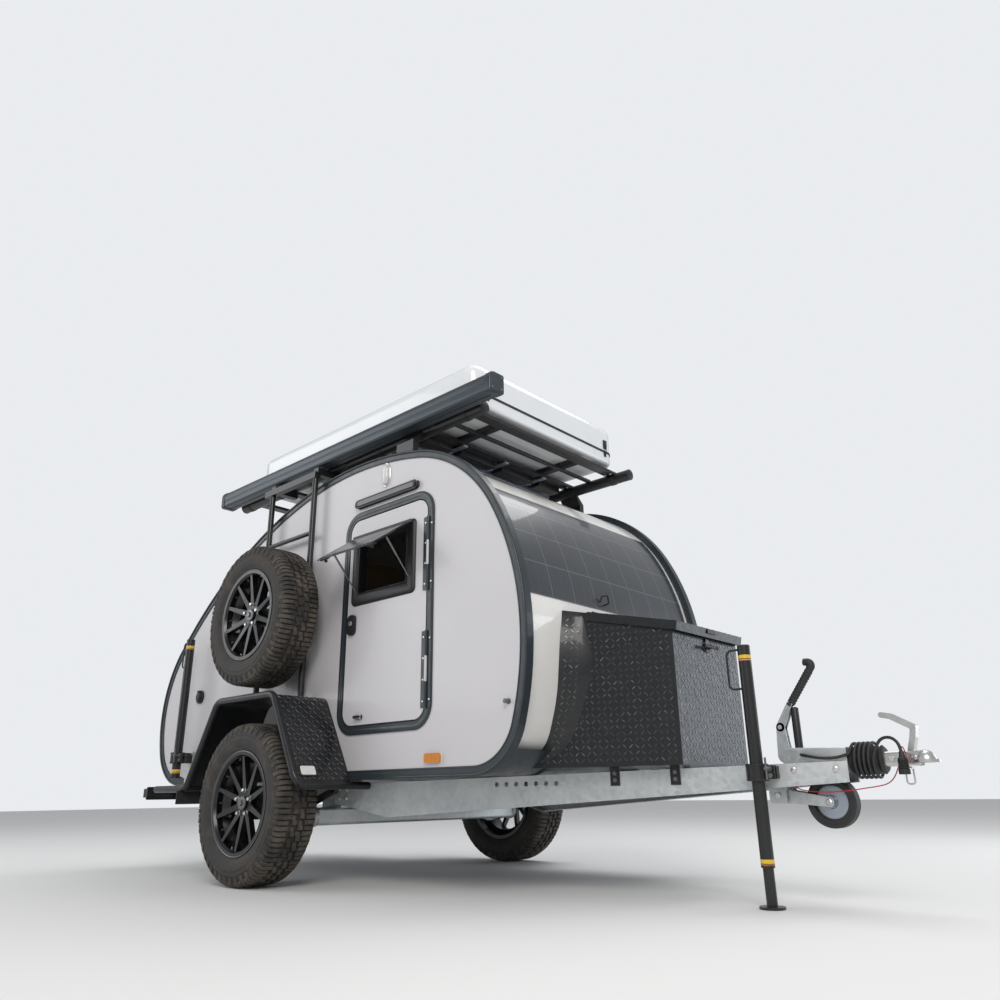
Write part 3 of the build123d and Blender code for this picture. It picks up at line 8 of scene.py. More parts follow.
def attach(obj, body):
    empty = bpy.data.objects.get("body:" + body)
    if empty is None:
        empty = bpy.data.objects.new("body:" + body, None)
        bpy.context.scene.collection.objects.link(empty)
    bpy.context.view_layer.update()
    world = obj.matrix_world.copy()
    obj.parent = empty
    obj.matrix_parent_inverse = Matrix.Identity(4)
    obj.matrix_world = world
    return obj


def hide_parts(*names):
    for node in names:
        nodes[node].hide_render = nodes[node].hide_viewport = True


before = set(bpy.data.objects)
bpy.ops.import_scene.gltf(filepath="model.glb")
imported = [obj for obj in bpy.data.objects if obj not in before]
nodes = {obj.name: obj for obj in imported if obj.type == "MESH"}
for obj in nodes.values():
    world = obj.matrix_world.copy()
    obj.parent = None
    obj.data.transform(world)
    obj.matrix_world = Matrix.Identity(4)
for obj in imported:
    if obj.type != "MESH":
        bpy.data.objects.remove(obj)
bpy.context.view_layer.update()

# Metres. +X points to the coupling, +Y to the trailer's left, +Z up, the ground is at z = 0.

WHEEL_X = -0.643
HANDS = [("left", 1), ("right", -1)]


# Node trees, shader maths and finishes


def sum_of(operation, swapped=False):
    """A method that joins a flow and another value by a Math node."""

    def method(self, other):
        return self.maths(operation, *((other, self) if swapped else (self, other)))

    return method


class Flow:
    """A node's socket that takes part in sums and products."""

    def __init__(self, owner, socket):
        self.owner = owner
        self.socket = socket

    def maths(self, operation, *values):
        return self.owner.add("ShaderNodeMath", {"operation": operation}, dict(enumerate(values)))

    __add__, __radd__ = sum_of("ADD"), sum_of("ADD", True)
    __sub__, __rsub__ = sum_of("SUBTRACT"), sum_of("SUBTRACT", True)
    __mul__, __rmul__ = sum_of("MULTIPLY"), sum_of("MULTIPLY", True)
    __truediv__, __gt__ = sum_of("DIVIDE"), sum_of("GREATER_THAN")
    __lt__ = sum_of("LESS_THAN")

    def absolute(self):
        return self.maths("ABSOLUTE", self)

    def wrapped(self, period):
        """The value counted again from the start of each period."""
        return self.maths("WRAP", self, period, 0.0)


class Tree:
    """A node tree whose nodes take values, colours or flows."""

    def feed(self, socket, value):
        if isinstance(value, Flow):
            self.tree.links.new(value.socket, socket)
        elif isinstance(value, tuple) and len(value) == 3 and socket.type == "RGBA":
            socket.default_value = (*value, 1.0)
        else:
            socket.default_value = value

    def add(self, kind, settings=None, sockets=None, output=0):
        """A node of any type: its settings first, then the values or links of its sockets."""
        made = self.tree.nodes.new(kind)
        for name, value in (settings or {}).items():
            setattr(made, name, value)
        for name, value in (sockets or {}).items():
            self.feed(made.inputs[name], value)
        return Flow(self, made.outputs[output])


class Finish(Tree):
    """A material with its shader."""

    def __init__(self, name, colour, rough, metal=0.0, coat=0.0):
        self.material = bpy.data.materials.new(name)
        self.material.use_nodes = True
        self.tree = self.material.node_tree
        self.shader = self.tree.nodes["Principled BSDF"]
        self.place = None
        start = {"Base Color": colour, "Roughness": rough, "Metallic": metal, "Coat Weight": coat}
        for socket, value in start.items():
            self.set(socket, value)

    def set(self, socket, value):
        self.feed(self.shader.inputs[socket], value)

    def coords(self):
        if self.place is None:
            self.place = self.add("ShaderNodeTexCoord", output="Object")
        return self.place

    def axes(self, vector):
        """The x, y and z of a vector."""
        split = self.add("ShaderNodeSeparateXYZ", None, {0: vector})
        return [Flow(self, output) for output in split.socket.node.outputs]

    def stretched(self, scale):
        return self.add("ShaderNodeMapping", None, {"Vector": self.coords(), "Scale": scale})

    def noise(self, scale, detail=2.0, rough=0.5, vector=None):
        return self.add("ShaderNodeTexNoise", None,
                        {"Vector": vector or self.coords(), "Scale": scale, "Detail": detail, "Roughness": rough})

    def band(self, value, low, high, first=0.0, last=1.0):
        """A smooth step from first to last as value goes from low to high."""
        return self.add("ShaderNodeMapRange", {"interpolation_type": "SMOOTHSTEP"},
                        {"Value": value, "From Min": low, "From Max": high, "To Min": first, "To Max": last})

    def blend(self, share, one, other):
        """A colour from one to other by share."""
        return self.add("ShaderNodeMix", {"data_type": "RGBA"}, {0: share, 6: one, 7: other}, output=2)

    def bump(self, height, strength, distance):
        relief = {"Height": height, "Strength": strength, "Distance": distance}
        self.set("Normal", self.add("ShaderNodeBump", None, relief))


MIDDLE_ROUGH = 0.34


def mottled(name, colours, spots, rough, relief, metal=0.0, coat=0.0, limits=None):
    """A finish whose colour goes from one to another with noise, over a fine relief.

    Spots are the noise's scale, detail and roughness, and limits where its smooth step starts and ends. Rough is a
    number, or a start and its gain with the same noise, or the spots of a noise of its own, where its step ends, and
    the first and last roughness. Relief is a noise's scale and detail, then the bump's strength and distance.
    """
    made = Finish(name, colours[0], rough if isinstance(rough, float) else MIDDLE_ROUGH, metal, coat)
    share = made.noise(*spots)
    if limits:
        share = made.band(share, *limits)
    made.set("Base Color", made.blend(share, *colours))
    if isinstance(rough, tuple) and len(rough) == 2:
        start, gain = rough
        made.set("Roughness", start + gain * share)
    elif isinstance(rough, tuple):
        own_spots, end, first, last = rough
        made.set("Roughness", made.band(made.noise(*own_spots), 0.3, end, first, last))
    made.bump(made.noise(*relief[:2]), *relief[2:])
    return made


def white_gelcoat(name, tint):
    return mottled(name, (tint, tuple(0.95 * part for part in tint)), (2.1, 4.0, 0.6),
                   ((14.0, 4.0, 0.65), 0.75, 0.14, 0.27), (30.0, 2.0, 0.03, 0.0008), coat=0.6, limits=(0.42, 0.75))


def galvanised():
    made = Finish("galvanised_steel", (0.52, 0.55, 0.56), 0.42, metal=0.75)
    spangle = made.add("ShaderNodeTexVoronoi", None, {"Vector": made.coords(), "Scale": 55.0}, "Color")
    shade = made.add("ShaderNodeRGBToBW", None, {0: spangle})
    cloudy = made.noise(6.0, 5.0, 0.6)
    light = made.blend(shade, (0.46, 0.49, 0.50), (0.60, 0.63, 0.64))
    made.set("Base Color", made.blend(made.band(cloudy, 0.45, 0.75), light, (0.66, 0.67, 0.66)))
    made.set("Roughness", 0.34 + 0.14 * shade + 0.10 * cloudy)
    made.bump(0.6 * cloudy + 0.2 * made.noise(190.0, 2.0), 0.12, 0.0012)
    return made


def tyre_rubber():
    made = Finish("tyre_rubber", (0.030, 0.026, 0.023), 0.78)
    dust = made.band(made.noise(12.0, 6.0, 0.7), 0.42, 0.70)
    fine = made.noise(180.0, 3.0, 0.6)
    worn = made.blend(dust, (0.022, 0.020, 0.019), (0.075, 0.064, 0.052))
    made.set("Base Color", made.blend(0.35 * fine, worn, (0.035, 0.031, 0.028)))
    made.set("Roughness", 0.66 + 0.2 * dust)
    made.bump(fine, 0.25, 0.0005)
    return made


def anthracite():
    made = Finish("anthracite_case", (0.040, 0.052, 0.062), 0.36, metal=0.4, coat=0.1)
    drawn = made.noise(30.0, 2.0, 0.5, made.stretched((0.2, 6.0, 6.0)))
    made.set("Base Color", made.blend(drawn, (0.036, 0.047, 0.056), (0.052, 0.066, 0.078)))
    made.set("Roughness", made.band(drawn, 0.3, 0.7, 0.30, 0.42))
    made.bump(made.noise(380.0, 2.0), 0.08, 0.0003)
    return made


def plywood():
    made = Finish("birch_plywood", (0.55, 0.43, 0.29), 0.5)
    grain = made.noise(9.0, 5.0, 0.6, made.stretched((0.6, 9.0, 0.6)))
    made.set("Base Color", made.blend(grain, (0.46, 0.34, 0.21), (0.64, 0.51, 0.35)))
    made.bump(grain, 0.1, 0.0006)
    return made


def smoked_glass():
    made = Finish("smoked_glass", (0.012, 0.014, 0.016), 0.14, coat=0.05)
    made.set("Alpha", made.band(made.noise(5.0), 0.2, 0.8, 0.80, 0.88))
    made.set("Roughness", made.band(made.noise(6.0, 3.0), 0.3, 0.7, 0.12, 0.18))
    return made


def solar_cells():
    """Dark cells between thin printed lines, on a slightly wavy sheet."""
    made = Finish("solar_cells", (0.02, 0.025, 0.03), 0.3, coat=0.6)
    across, along, _ = made.axes(made.add("ShaderNodeTexCoord", output="UV"))
    cell, line, finger_width = 0.158, 0.0022, 0.0007
    u, v = across.wrapped(cell), along.wrapped(cell)
    edge = ((u - cell / 2).absolute() > cell / 2 - line) + ((v - cell / 2).absolute() > cell / 2 - line)
    finger = (u.wrapped(cell / 3) - cell / 6).absolute() < finger_width
    tone = made.noise(4.0, 2.0, 0.5)
    dark = made.blend(tone, (0.016, 0.020, 0.026), (0.030, 0.036, 0.045))
    lined = made.blend(0.35 * finger, dark, (0.10, 0.11, 0.12))
    made.set("Base Color", made.blend(edge, lined, (0.10, 0.11, 0.125)))
    made.set("Roughness", 0.24 + 0.14 * tone)
    made.bump(made.noise(7.0, 3.0) + 0.05 * edge, 0.35, 0.0015)
    return made


def lens(name, colour):
    made = Finish(name, colour, 0.12, coat=0.7)
    rib = made.noise(60.0, 2.0, 0.5, made.stretched((1.0, 1.0, 8.0)))
    made.set("Base Color", made.blend(rib, colour, tuple(0.6 * part for part in colour)))
    made.bump(rib, 0.2, 0.0008)
    return made


def plastic(name, colour, rough=0.35):
    return mottled(name, (colour, tuple(0.8 * part for part in colour)), (35.0, 3.0), rough, (300.0, 2.0, 0.08, 0.0003))


def plain_metal(name, colour):
    return mottled(name, (tuple(0.85 * part for part in colour), colour), (40.0, 4.0, 0.6), (0.26, 0.2),
                   (300.0, 2.0, 0.06, 0.0003), metal=0.85)


def edge_profile():
    made = Finish("dark_edge_profile", (0.020, 0.028, 0.034), 0.36, coat=0.15)
    made.set("Roughness", made.band(made.noise(22.0, 4.0, 0.6), 0.3, 0.7, 0.30, 0.46))
    made.bump(made.noise(420.0, 2.0), 0.12, 0.0003)
    return made


def canvas_cloth():
    made = Finish("tent_canvas", (0.30, 0.31, 0.30), 0.9)
    weave = made.noise(700.0, 2.0, 0.5) + 0.4 * made.noise(20.0, 3.0)
    made.set("Base Color", made.blend(made.noise(12.0, 4.0), (0.27, 0.28, 0.27), (0.36, 0.37, 0.35)))
    made.bump(weave, 0.35, 0.0006)
    return made


FINISHES = {
    "shell": mottled("light_grey_panel", ((0.535, 0.52, 0.54), (0.585, 0.57, 0.58)), (1.3, 3.0, 0.6),
                     ((2.0, 3.0, 0.5), 0.7, 0.31, 0.38), (140.0, 2.0, 0.04, 0.0004), coat=0.12),
    "white": white_gelcoat("white_gelcoat", (0.83, 0.82, 0.80)),
    "tent_white": white_gelcoat("tent_white", (0.80, 0.82, 0.84)),
    "profile": edge_profile(),
    "rubber": mottled("rubber", ((0.012, 0.012, 0.013), (0.03, 0.03, 0.031)), (40.0, 4.0, 0.6), 0.62,
                      (300.0, 3.0, 0.15, 0.0004)),
    "zinc_hot": galvanised(),
    "powder": mottled("black_powder_coat", ((0.012, 0.012, 0.013), (0.045, 0.044, 0.043)), (16.0, 6.0, 0.7),
                      (0.34, 0.18), (520.0, 2.0, 0.10, 0.0003), coat=0.1, limits=(0.62, 0.74)),
    "chequer": mottled("black_chequer_plate", ((0.014, 0.015, 0.017), (0.026, 0.026, 0.026)), (7.0, 5.0, 0.65),
                       ((60.0, 4.0, 0.6), 0.7, 0.30, 0.46), (260.0, 3.0, 0.08, 0.0004), 0.35, 0.2, (0.50, 0.75)),
    # The lugs' light grey is painted sheen: it stands in for the light that the raised lugs catch on the near-black
    # plate.
    "lug": mottled("lug_paint_painted_sheen", ((0.07, 0.074, 0.080), (0.20, 0.205, 0.215)), (24.0, 5.0, 0.65),
                   (0.22, 0.16), (240.0, 2.0, 0.06, 0.0003), 0.5, 0.3, (0.45, 0.75)),
    "tyre": tyre_rubber(),
    "tread": mottled("tread_rubber", ((0.026, 0.024, 0.022), (0.100, 0.084, 0.068)), (9.0, 6.0, 0.7),
                     (0.7, 0.18), (240.0, 3.0, 0.3, 0.0006), limits=(0.38, 0.66)),
    "rim": mottled("gloss_black_rim", ((0.004, 0.004, 0.005), (0.016, 0.014, 0.012)), (18.0, 5.0, 0.65),
                   (0.28, 0.2), (90.0, 2.0, 0.03, 0.0004), coat=0.06, limits=(0.5, 0.8)),
    "brake": mottled("brake_casting", ((0.055, 0.055, 0.056), (0.12, 0.070, 0.042)), (25.0, 5.0, 0.7), 0.6,
                     (150.0, 4.0, 0.3, 0.0008), 0.6, limits=(0.5, 0.72)),
    "anthracite": anthracite(),
    "zinc": mottled("zinc_plate", ((0.50, 0.50, 0.49), (0.70, 0.70, 0.68)), (30.0, 4.0, 0.6), (0.2, 0.22),
                    (160.0, 3.0, 0.06, 0.0004), 0.9),
    "ply": plywood(),
    "glass": smoked_glass(),
    "strip": plastic("lamp_strip", (0.10, 0.10, 0.105), 0.18),
    "solar": solar_cells(),
    "amber": lens("amber_lens", (0.75, 0.26, 0.02)),
    "red": lens("red_lens", (0.45, 0.02, 0.015)),
    "clear": lens("clear_lens", (0.75, 0.75, 0.73)),
    "yellow": plastic("yellow_band", (0.80, 0.55, 0.03)),
    "orange": plastic("orange_band", (0.75, 0.28, 0.12)),
    "cable_red": plastic("red_cable_coat", (0.45, 0.03, 0.02)),
    "black": plastic("black_plastic", (0.014, 0.014, 0.015), 0.45),
    "canvas": canvas_cloth(),
    "dull_metal": plain_metal("dull_grey_metal", (0.20, 0.20, 0.21)),
    "satin": plain_metal("satin_aluminium", (0.42, 0.46, 0.52)),
    "reflector": plastic("white_reflector", (0.78, 0.78, 0.77), 0.25),
}


DRESSING = {
    "shell": "wall_left wall_right door_left door_right",
    "white": "roof_skin hatch",
    "tent_white": "tent_base tent_lid",
    "profile": "floor_pan wall_trims window_left window_right",
    "rubber": "bellows mud_flaps jockey_wheel lead_coil lead_run lead_tail",
    "zinc_hot": "drawbar chassis axle overrun_housing handbrake_lever jockey_leg",
    "powder": "shock_absorbers posts_left posts_right front_stand rear_stand_left rear_stand_right stand_clamps "
              "tail_beam roof_rack rack_slats rack_feet",
    "chequer": "fender_left fender_right front_box box_lid",
    "tyre": "tyre_left tyre_right spare_tyre",
    "rim": "rim_left rim_right spare_rim",
    "brake": "drum_left drum_right",
    "anthracite": "awning_case",
    "zinc": "coupling_head coupling_handle snap_hook",
    "ply": "galley",
    "solar": "solar_panel",
    "clear": "side_lamps",
    "amber": "marker_lamps",
    "red": "tail_lamps",
    "black": "lead_plug",
    "cable_red": "breakaway_cable",
}
for finish, names in DRESSING.items():
    for name in names.split():
        nodes[name].data.materials.clear()
        nodes[name].data.materials.append(FINISHES[finish].material)


# Forms, in millimetres from the wheel centres


def at(x, y, z):
    """The place in the frame of millimetres counted from the wheel centres."""
    return Vector((x / 1000 + WHEEL_X, y / 1000, z / 1000))


def angles_round(count):
    return [2 * math.pi * step / count for step in range(count)]


def placed(axis, point, depth):
    """A point of a flat drawing, put at a depth along the axis that the drawing faces."""
    a, b = point
    return {"x": (depth, a, b), "y": (a, depth, b), "z": (a, b, depth)}[axis]


def rounded(x0, x1, z0, z1, corner, steps=6):
    """A function that gives the outline of a window shape, set in by any amount."""

    def outline_at(inset):
        radius = max(corner - inset, 0.5)
        points = []
        middles = [(x1, z0, -90), (x1, z1, 0), (x0, z1, 90), (x0, z0, 180)]
        for x, z, first in middles:
            centre_x = x - (inset + radius) * (1 if x == x1 else -1)
            centre_z = z - (inset + radius) * (1 if z == z1 else -1)
            for step in range(steps + 1):
                angle = math.radians(first + 90 * step / steps)
                points.append((centre_x + radius * math.cos(angle), centre_z + radius * math.sin(angle)))
        return points

    return outline_at


def bent(corners, bend, steps=6):
    """A path along straight runs whose corners are rounded."""
    corners = [Vector(corner) for corner in corners]
    path = [corners[0]]
    for before, here, after in zip(corners, corners[1:], corners[2:]):
        back, on = (before - here).normalized(), (after - here).normalized()
        half = back.angle(on) / 2
        reach = bend / math.tan(half)
        centre = here + (back + on).normalized() * (bend / math.sin(half))
        first, last = here + back * reach - centre, here + on * reach - centre
        for step in range(steps + 1):
            path.append(centre + first.slerp(last, step / steps).normalized() * bend)
    return path + [corners[-1]]


def soft_polygon(corners, steps=5):
    """A closed outline whose corners, given with their radii, are rounded."""
    points = []
    for index, (a, b, radius) in enumerate(corners):
        here = Vector((a, b))
        before, after = Vector(corners[index - 1][:2]), Vector(corners[(index + 1) % len(corners)][:2])
        back, on = (before - here).normalized(), (after - here).normalized()
        half = back.angle(on) / 2
        centre = here + (back + on).normalized() * (radius / math.sin(half))
        first, last = here + back * (radius / math.tan(half)) - centre, here + on * (radius / math.tan(half)) - centre
        for step in range(steps + 1):
            points.append(tuple(centre + first.slerp(last, step / steps).normalized() * radius))
    return points


class Sheet:
    """Faces with a flat map of their own, which is in metres."""

    def __init__(self):
        self.mesh = bmesh.new()
        self.chart = self.mesh.loops.layers.uv.new("chart")

    def corner(self, place, spot):
        """A vertex with its place on the flat map, both in millimetres."""
        return self.mesh.verts.new(at(*place)), (spot[0] / 1000, spot[1] / 1000)

    def face(self, corners):
        made = self.mesh.faces.new([vertex for vertex, _ in corners])
        for loop, (_, spot) in zip(made.loops, corners):
            loop[self.chart].uv = spot
        return made

    def finished(self, name):
        mesh = bpy.data.meshes.new(name)
        self.mesh.to_mesh(mesh)
        self.mesh.free()
        return mesh


class Form:
    """The faces of one piece. With side at -1 the Y of all points is counted to the right."""

    def __init__(self, side=1):
        self.mesh = bmesh.new()
        self.finish = 0
        self.turn = None
        self.side = side

    def both_sides(self):
        """Has what follows drawn on the right side, then on the left, with Y counted outward."""
        for side in (-1, 1):
            self.side = side
            yield side

    def vertex(self, point):
        x, y, z = self.turn(point) if self.turn else point
        return self.mesh.verts.new(at(x, self.side * y, z))

    def face(self, *corners):
        self.mesh.faces.new(corners).material_index = self.finish

    def rings(self, rings, closed=True):
        """A skin over rings of as many points each, with flat ends where closed is set."""
        made = [[self.vertex(point) for point in ring] for ring in rings]
        for first, second in zip(made, made[1:]):
            for i in range(len(first)):
                j = (i + 1) % len(first)
                self.face(first[i], first[j], second[j], second[i])
        if closed:
            self.face(*reversed(made[0]))
            self.face(*made[-1])

    def prism(self, outline, axis, low, high):
        self.rings([[placed(axis, point, depth) for point in outline] for depth in (low, high)])

    def block(self, x0, x1, y0, y1, z0, z1):
        self.prism([(x0, z0), (x1, z0), (x1, z1), (x0, z1)], "y", y0, y1)

    def layers(self, outline_at, axis, steps, closed=True):
        """A skin through an outline at several insets and depths."""
        self.rings([[placed(axis, point, depth) for point in outline_at(inset)] for inset, depth in steps], closed)

    def plate(self, outline_at, axis, low, high, edge=1.0, inset=0.0):
        """A plate with eased edges, from an outline function."""
        steps = [(inset + edge, low), (inset, low + edge), (inset, high - edge), (inset + edge, high)]
        self.layers(outline_at, axis, steps)

    def wall_plate(self, outline_at, low, high, edge=1.0):
        """A plate on a side wall, whose faces are smaller than its middle on the left and larger on the right."""
        ease = self.side * edge
        self.layers(outline_at, "y", [(ease, low), (0, low + edge), (0, high - edge), (ease, high)])

    def moulding(self, outline_at, axis, section):
        """A closed section of insets and depths, swept round an outline."""
        self.layers(outline_at, axis, section + section[:1], False)

    def tube(self, path, radius, sides=12, taper=None):
        path = [Vector(point) for point in path]
        tangents = [(b - a).normalized() for a, b in zip(path, path[1:])]
        tangents = [tangents[0]] + [(a + b).normalized() for a, b in zip(tangents, tangents[1:])] + [tangents[-1]]
        side = tangents[0].orthogonal().normalized()
        rings = []
        for index, (point, tangent) in enumerate(zip(path, tangents)):
            side = (side - tangent * side.dot(tangent)).normalized()
            other = tangent.cross(side)
            size = taper[index] if taper else radius
            rings.append([point + (side * math.cos(a) + other * math.sin(a)) * size for a in angles_round(sides)])
        self.rings(rings)

    def lathe(self, centre, axis, profile, sides=32, closed=True):
        """Radii and depths turned round an axis through the centre."""
        x, y, z = centre
        rings = []
        for radius, depth in profile:
            ring = []
            for angle in angles_round(sides):
                a, b = max(radius, 0.01) * math.cos(angle), max(radius, 0.01) * math.sin(angle)
                ring.append({"x": (x + depth, y + a, z + b), "y": (x + a, y + depth, z + b),
                             "z": (x + a, y + b, z + depth)}[axis])
            rings.append(ring)
        self.rings(rings, closed)

    def finished(self, name, crease=35.0):
        """The mesh, with its normals out and its sharp edges kept."""
        bmesh.ops.remove_doubles(self.mesh, verts=self.mesh.verts, dist=2e-6)
        bmesh.ops.recalc_face_normals(self.mesh, faces=self.mesh.faces)
        for face in self.mesh.faces:
            face.smooth = True
        for edge in self.mesh.edges:
            edge.smooth = edge.calc_face_angle(0.0) < math.radians(crease)
        mesh = bpy.data.meshes.new(name)
        self.mesh.to_mesh(mesh)
        self.mesh.free()
        return mesh

    def piece(self, name, body, *finishes, crease=35.0, replaced=(), soften=0.0):
        return piece(self.finished(name, crease), name, body, *finishes, replaced=replaced, soften=soften)


def piece(mesh, name, body, *finishes, replaced=(), soften=0.0):
    """A finished mesh as a piece that rides on a body."""
    made = bpy.data.objects.new(name, mesh)
    bpy.context.scene.collection.objects.link(made)
    if not mesh.materials:
        for finish in finishes:
            mesh.materials.append(FINISHES[finish].material)
    if soften:
        bevel = made.modifiers.new("softened edges", "BEVEL")
        bevel.width = soften / 1000
        bevel.segments = 2
        bevel.limit_method = "ANGLE"
        bevel.angle_limit = math.radians(40)
    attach(made, body)
    if replaced:
        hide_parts(*replaced)
    return made


# What repeats, made by node trees


class Growth(Tree):
    """A Geometry Nodes tree with named inputs."""

    def __init__(self, name):
        self.tree = bpy.data.node_groups.new(name, "GeometryNodeTree")
        self.tree.interface.new_socket("Geometry", in_out="INPUT", socket_type="NodeSocketGeometry")
        self.tree.interface.new_socket("Geometry", in_out="OUTPUT", socket_type="NodeSocketGeometry")
        self.entry = self.tree.nodes.new("NodeGroupInput")
        self.exit = self.tree.nodes.new("NodeGroupOutput")
        self.base = Flow(self, self.entry.outputs["Geometry"])

    def named(self, name, kind):
        self.tree.interface.new_socket(name, in_out="INPUT", socket_type="NodeSocket" + kind)
        return Flow(self, self.entry.outputs[name])

    def attribute(self, name):
        return self.add("GeometryNodeInputNamedAttribute", {"data_type": "FLOAT_VECTOR"}, {"Name": name})

    def stored(self, geometry, name, value):
        return self.add("GeometryNodeStoreNamedAttribute", {"data_type": "FLOAT_VECTOR", "domain": "POINT"},
                        {"Geometry": geometry, "Name": name, "Value": value})

    def spread(self, points, part, turn, finish, with_base=False):
        """Copies of a part on points, realised and painted, which end the tree."""
        shape = self.add("GeometryNodeObjectInfo", None, {"Object": part}, -1)
        copies = self.add("GeometryNodeInstanceOnPoints", None, {"Points": points, "Instance": shape, "Rotation": turn})
        solid = self.add("GeometryNodeRealizeInstances", None, {"Geometry": copies})
        solid = self.add("GeometryNodeSetMaterial", None, {"Geometry": solid, "Material": finish})
        if with_base:
            both = self.tree.nodes.new("GeometryNodeJoinGeometry")
            self.tree.links.new(self.base.socket, both.inputs[0])
            self.tree.links.new(solid.socket, both.inputs[0])
            solid = Flow(self, both.outputs[0])
        self.feed(self.exit.inputs["Geometry"], solid)


def wheel_growth():
    """Copies of a part all the way round a wheel's axis, joined to what the modifier is on."""
    tree = Growth("parts_round_a_wheel")
    part, count = tree.named("Part", "Object"), tree.named("Count", "Int")
    centre, finish = tree.named("Centre", "Vector"), tree.named("Finish", "Material")
    points = tree.add("GeometryNodePoints", None, {"Count": count, "Position": centre})
    angle = tree.add("GeometryNodeInputIndex") * (2 * math.pi) / count
    turn = tree.add("ShaderNodeCombineXYZ", None, {"Y": angle})
    tree.spread(points, part, turn, finish, with_base=True)
    return tree


def plate_growth():
    """Raised lugs on a square grid over a plate's own map, each turned across its neighbours."""
    tree = Growth("lugs_on_a_plate")
    part, finish = tree.named("Part", "Object"), tree.named("Finish", "Material")
    pitch, count, lay = tree.named("Pitch", "Float"), tree.named("Count", "Int"), tree.named("Lay", "Vector")
    size = (count - 1) * pitch
    grid = tree.add("GeometryNodeMeshGrid", None,
                    {"Size X": size, "Size Y": size, "Vertices X": count, "Vertices Y": count})
    place = tree.add("GeometryNodeInputPosition")
    grid = tree.stored(grid, "spot", place)
    spot, chart = tree.attribute("spot"), tree.attribute("chart")

    def read(value, output=0):
        return tree.add("GeometryNodeSampleUVSurface", {"data_type": "FLOAT_VECTOR"},
                        {"Mesh": tree.base, "Value": value, "UV Map": chart, "Sample UV": spot}, output)

    outside = tree.add("FunctionNodeBooleanMath", {"operation": "NOT"}, {0: read(place, "Is Valid")})
    kept = tree.add("GeometryNodeDeleteGeometry", {"domain": "POINT"}, {"Geometry": grid, "Selection": outside})
    facing = tree.stored(kept, "facing", read(tree.add("GeometryNodeInputNormal")))
    moved = tree.add("GeometryNodeSetPosition", None, {"Geometry": facing, "Position": read(place)})
    axes = tree.add("ShaderNodeSeparateXYZ", None, {0: spot}).socket.node.outputs
    step = (Flow(tree, axes[0]) + Flow(tree, axes[1])) / pitch
    odd = step.maths("FLOORED_MODULO", step.maths("FLOOR", step + 0.01), 2)
    flat = tree.add("FunctionNodeAxesToRotation", {"primary_axis": "Z", "secondary_axis": "X"},
                    {"Primary Axis": tree.attribute("facing"), "Secondary Axis": lay})
    slant = tree.add("ShaderNodeCombineXYZ", None, {"Z": (odd * 2 - 1) * (math.pi / 4)})
    turned = tree.add("FunctionNodeRotateRotation", {"rotation_space": "LOCAL"},
                      {"Rotation": flat, "Rotate By": slant})
    tree.spread(moved, part, turned, finish)
    return tree


def fixing_growth():
    """A fixing on every point of a mesh, with its head turned along the point's aim."""
    tree = Growth("fixings_on_points")
    part, finish = tree.named("Part", "Object"), tree.named("Finish", "Material")
    turn = tree.add("FunctionNodeAlignRotationToVector", {"axis": "Z"}, {"Vector": tree.attribute("aim")})
    tree.spread(tree.base, part, turn, finish)
    return tree


WHEEL_GROWTH = wheel_growth()
PLATE_GROWTH = plate_growth()
FIXING_GROWTH = fixing_growth()


def grown(tree, base, part, values):
    """The plain mesh that a tree makes of a base mesh and copies of a part."""
    holders = [bpy.data.objects.new("growing", mesh) for mesh in (base, part)]
    for holder in holders:
        bpy.context.scene.collection.objects.link(holder)
    change = holders[0].modifiers.new("growth", "NODES")
    change.node_group = tree.tree
    values = {"Part": holders[1], **values}
    for socket in tree.tree.interface.items_tree:
        if socket.in_out == "INPUT" and socket.name in values:
            change[socket.identifier] = values[socket.name]
    seen = bpy.context.evaluated_depsgraph_get()
    mesh = bpy.data.meshes.new_from_object(holders[0].evaluated_get(seen), depsgraph=seen)
    for holder in holders:
        bpy.data.objects.remove(holder)
    return mesh


def small_part(build, *sizes):
    """A part drawn round its own origin, for copying."""
    form = Form()
    build(form, *sizes)
    mesh = form.finished("part")
    mesh.transform(Matrix.Translation(-at(0, 0, 0)))
    return mesh


def hex_head(form, across, height):
    """A washer and a hexagon head."""
    radius = across / math.sqrt(3)
    form.lathe((0, 0, 0), "z", [(across * 0.72, -1.5), (across * 0.72, 1.2), (across * 0.5, 1.3)], 12)
    form.lathe((0, 0, 0), "z", [(radius, 0.6), (radius, height - 1), (radius * 0.82, height)], 6)


def dome_head(form, radius, height):
    form.lathe((0, 0, 0), "z", [(radius, -1.0), (radius, height * 0.3), (radius * 0.7, height * 0.85), (0, height)], 8)


def fixings(name, body, finish, head, spots):
    """Like fixings on one body: each spot has a place and the way that its head points."""
    base = bpy.data.meshes.new("spots")
    base.from_pydata([tuple(at(*place)) for place, _ in spots], [], [])
    aim = base.attributes.new("aim", "FLOAT_VECTOR", "POINT")
    for index, (_, way) in enumerate(spots):
        aim.data[index].vector = way
    mesh = grown(FIXING_GROWTH, base, head, {"Finish": FINISHES[finish].material})
    return piece(mesh, name, body, finish)


LUG_PITCH = 25.0


def lug_form(form):
    """One lug of chequer plate: a low lens with a flat top."""
    foot = [(-14, 0), (-8, -2.6), (0, -3.5), (8, -2.6), (14, 0), (8, 2.6), (0, 3.5), (-8, 2.6)]
    form.rings([[(x, y, -0.6) for x, y in foot], [(0.76 * x, 0.5 * y, 1.7) for x, y in foot]])


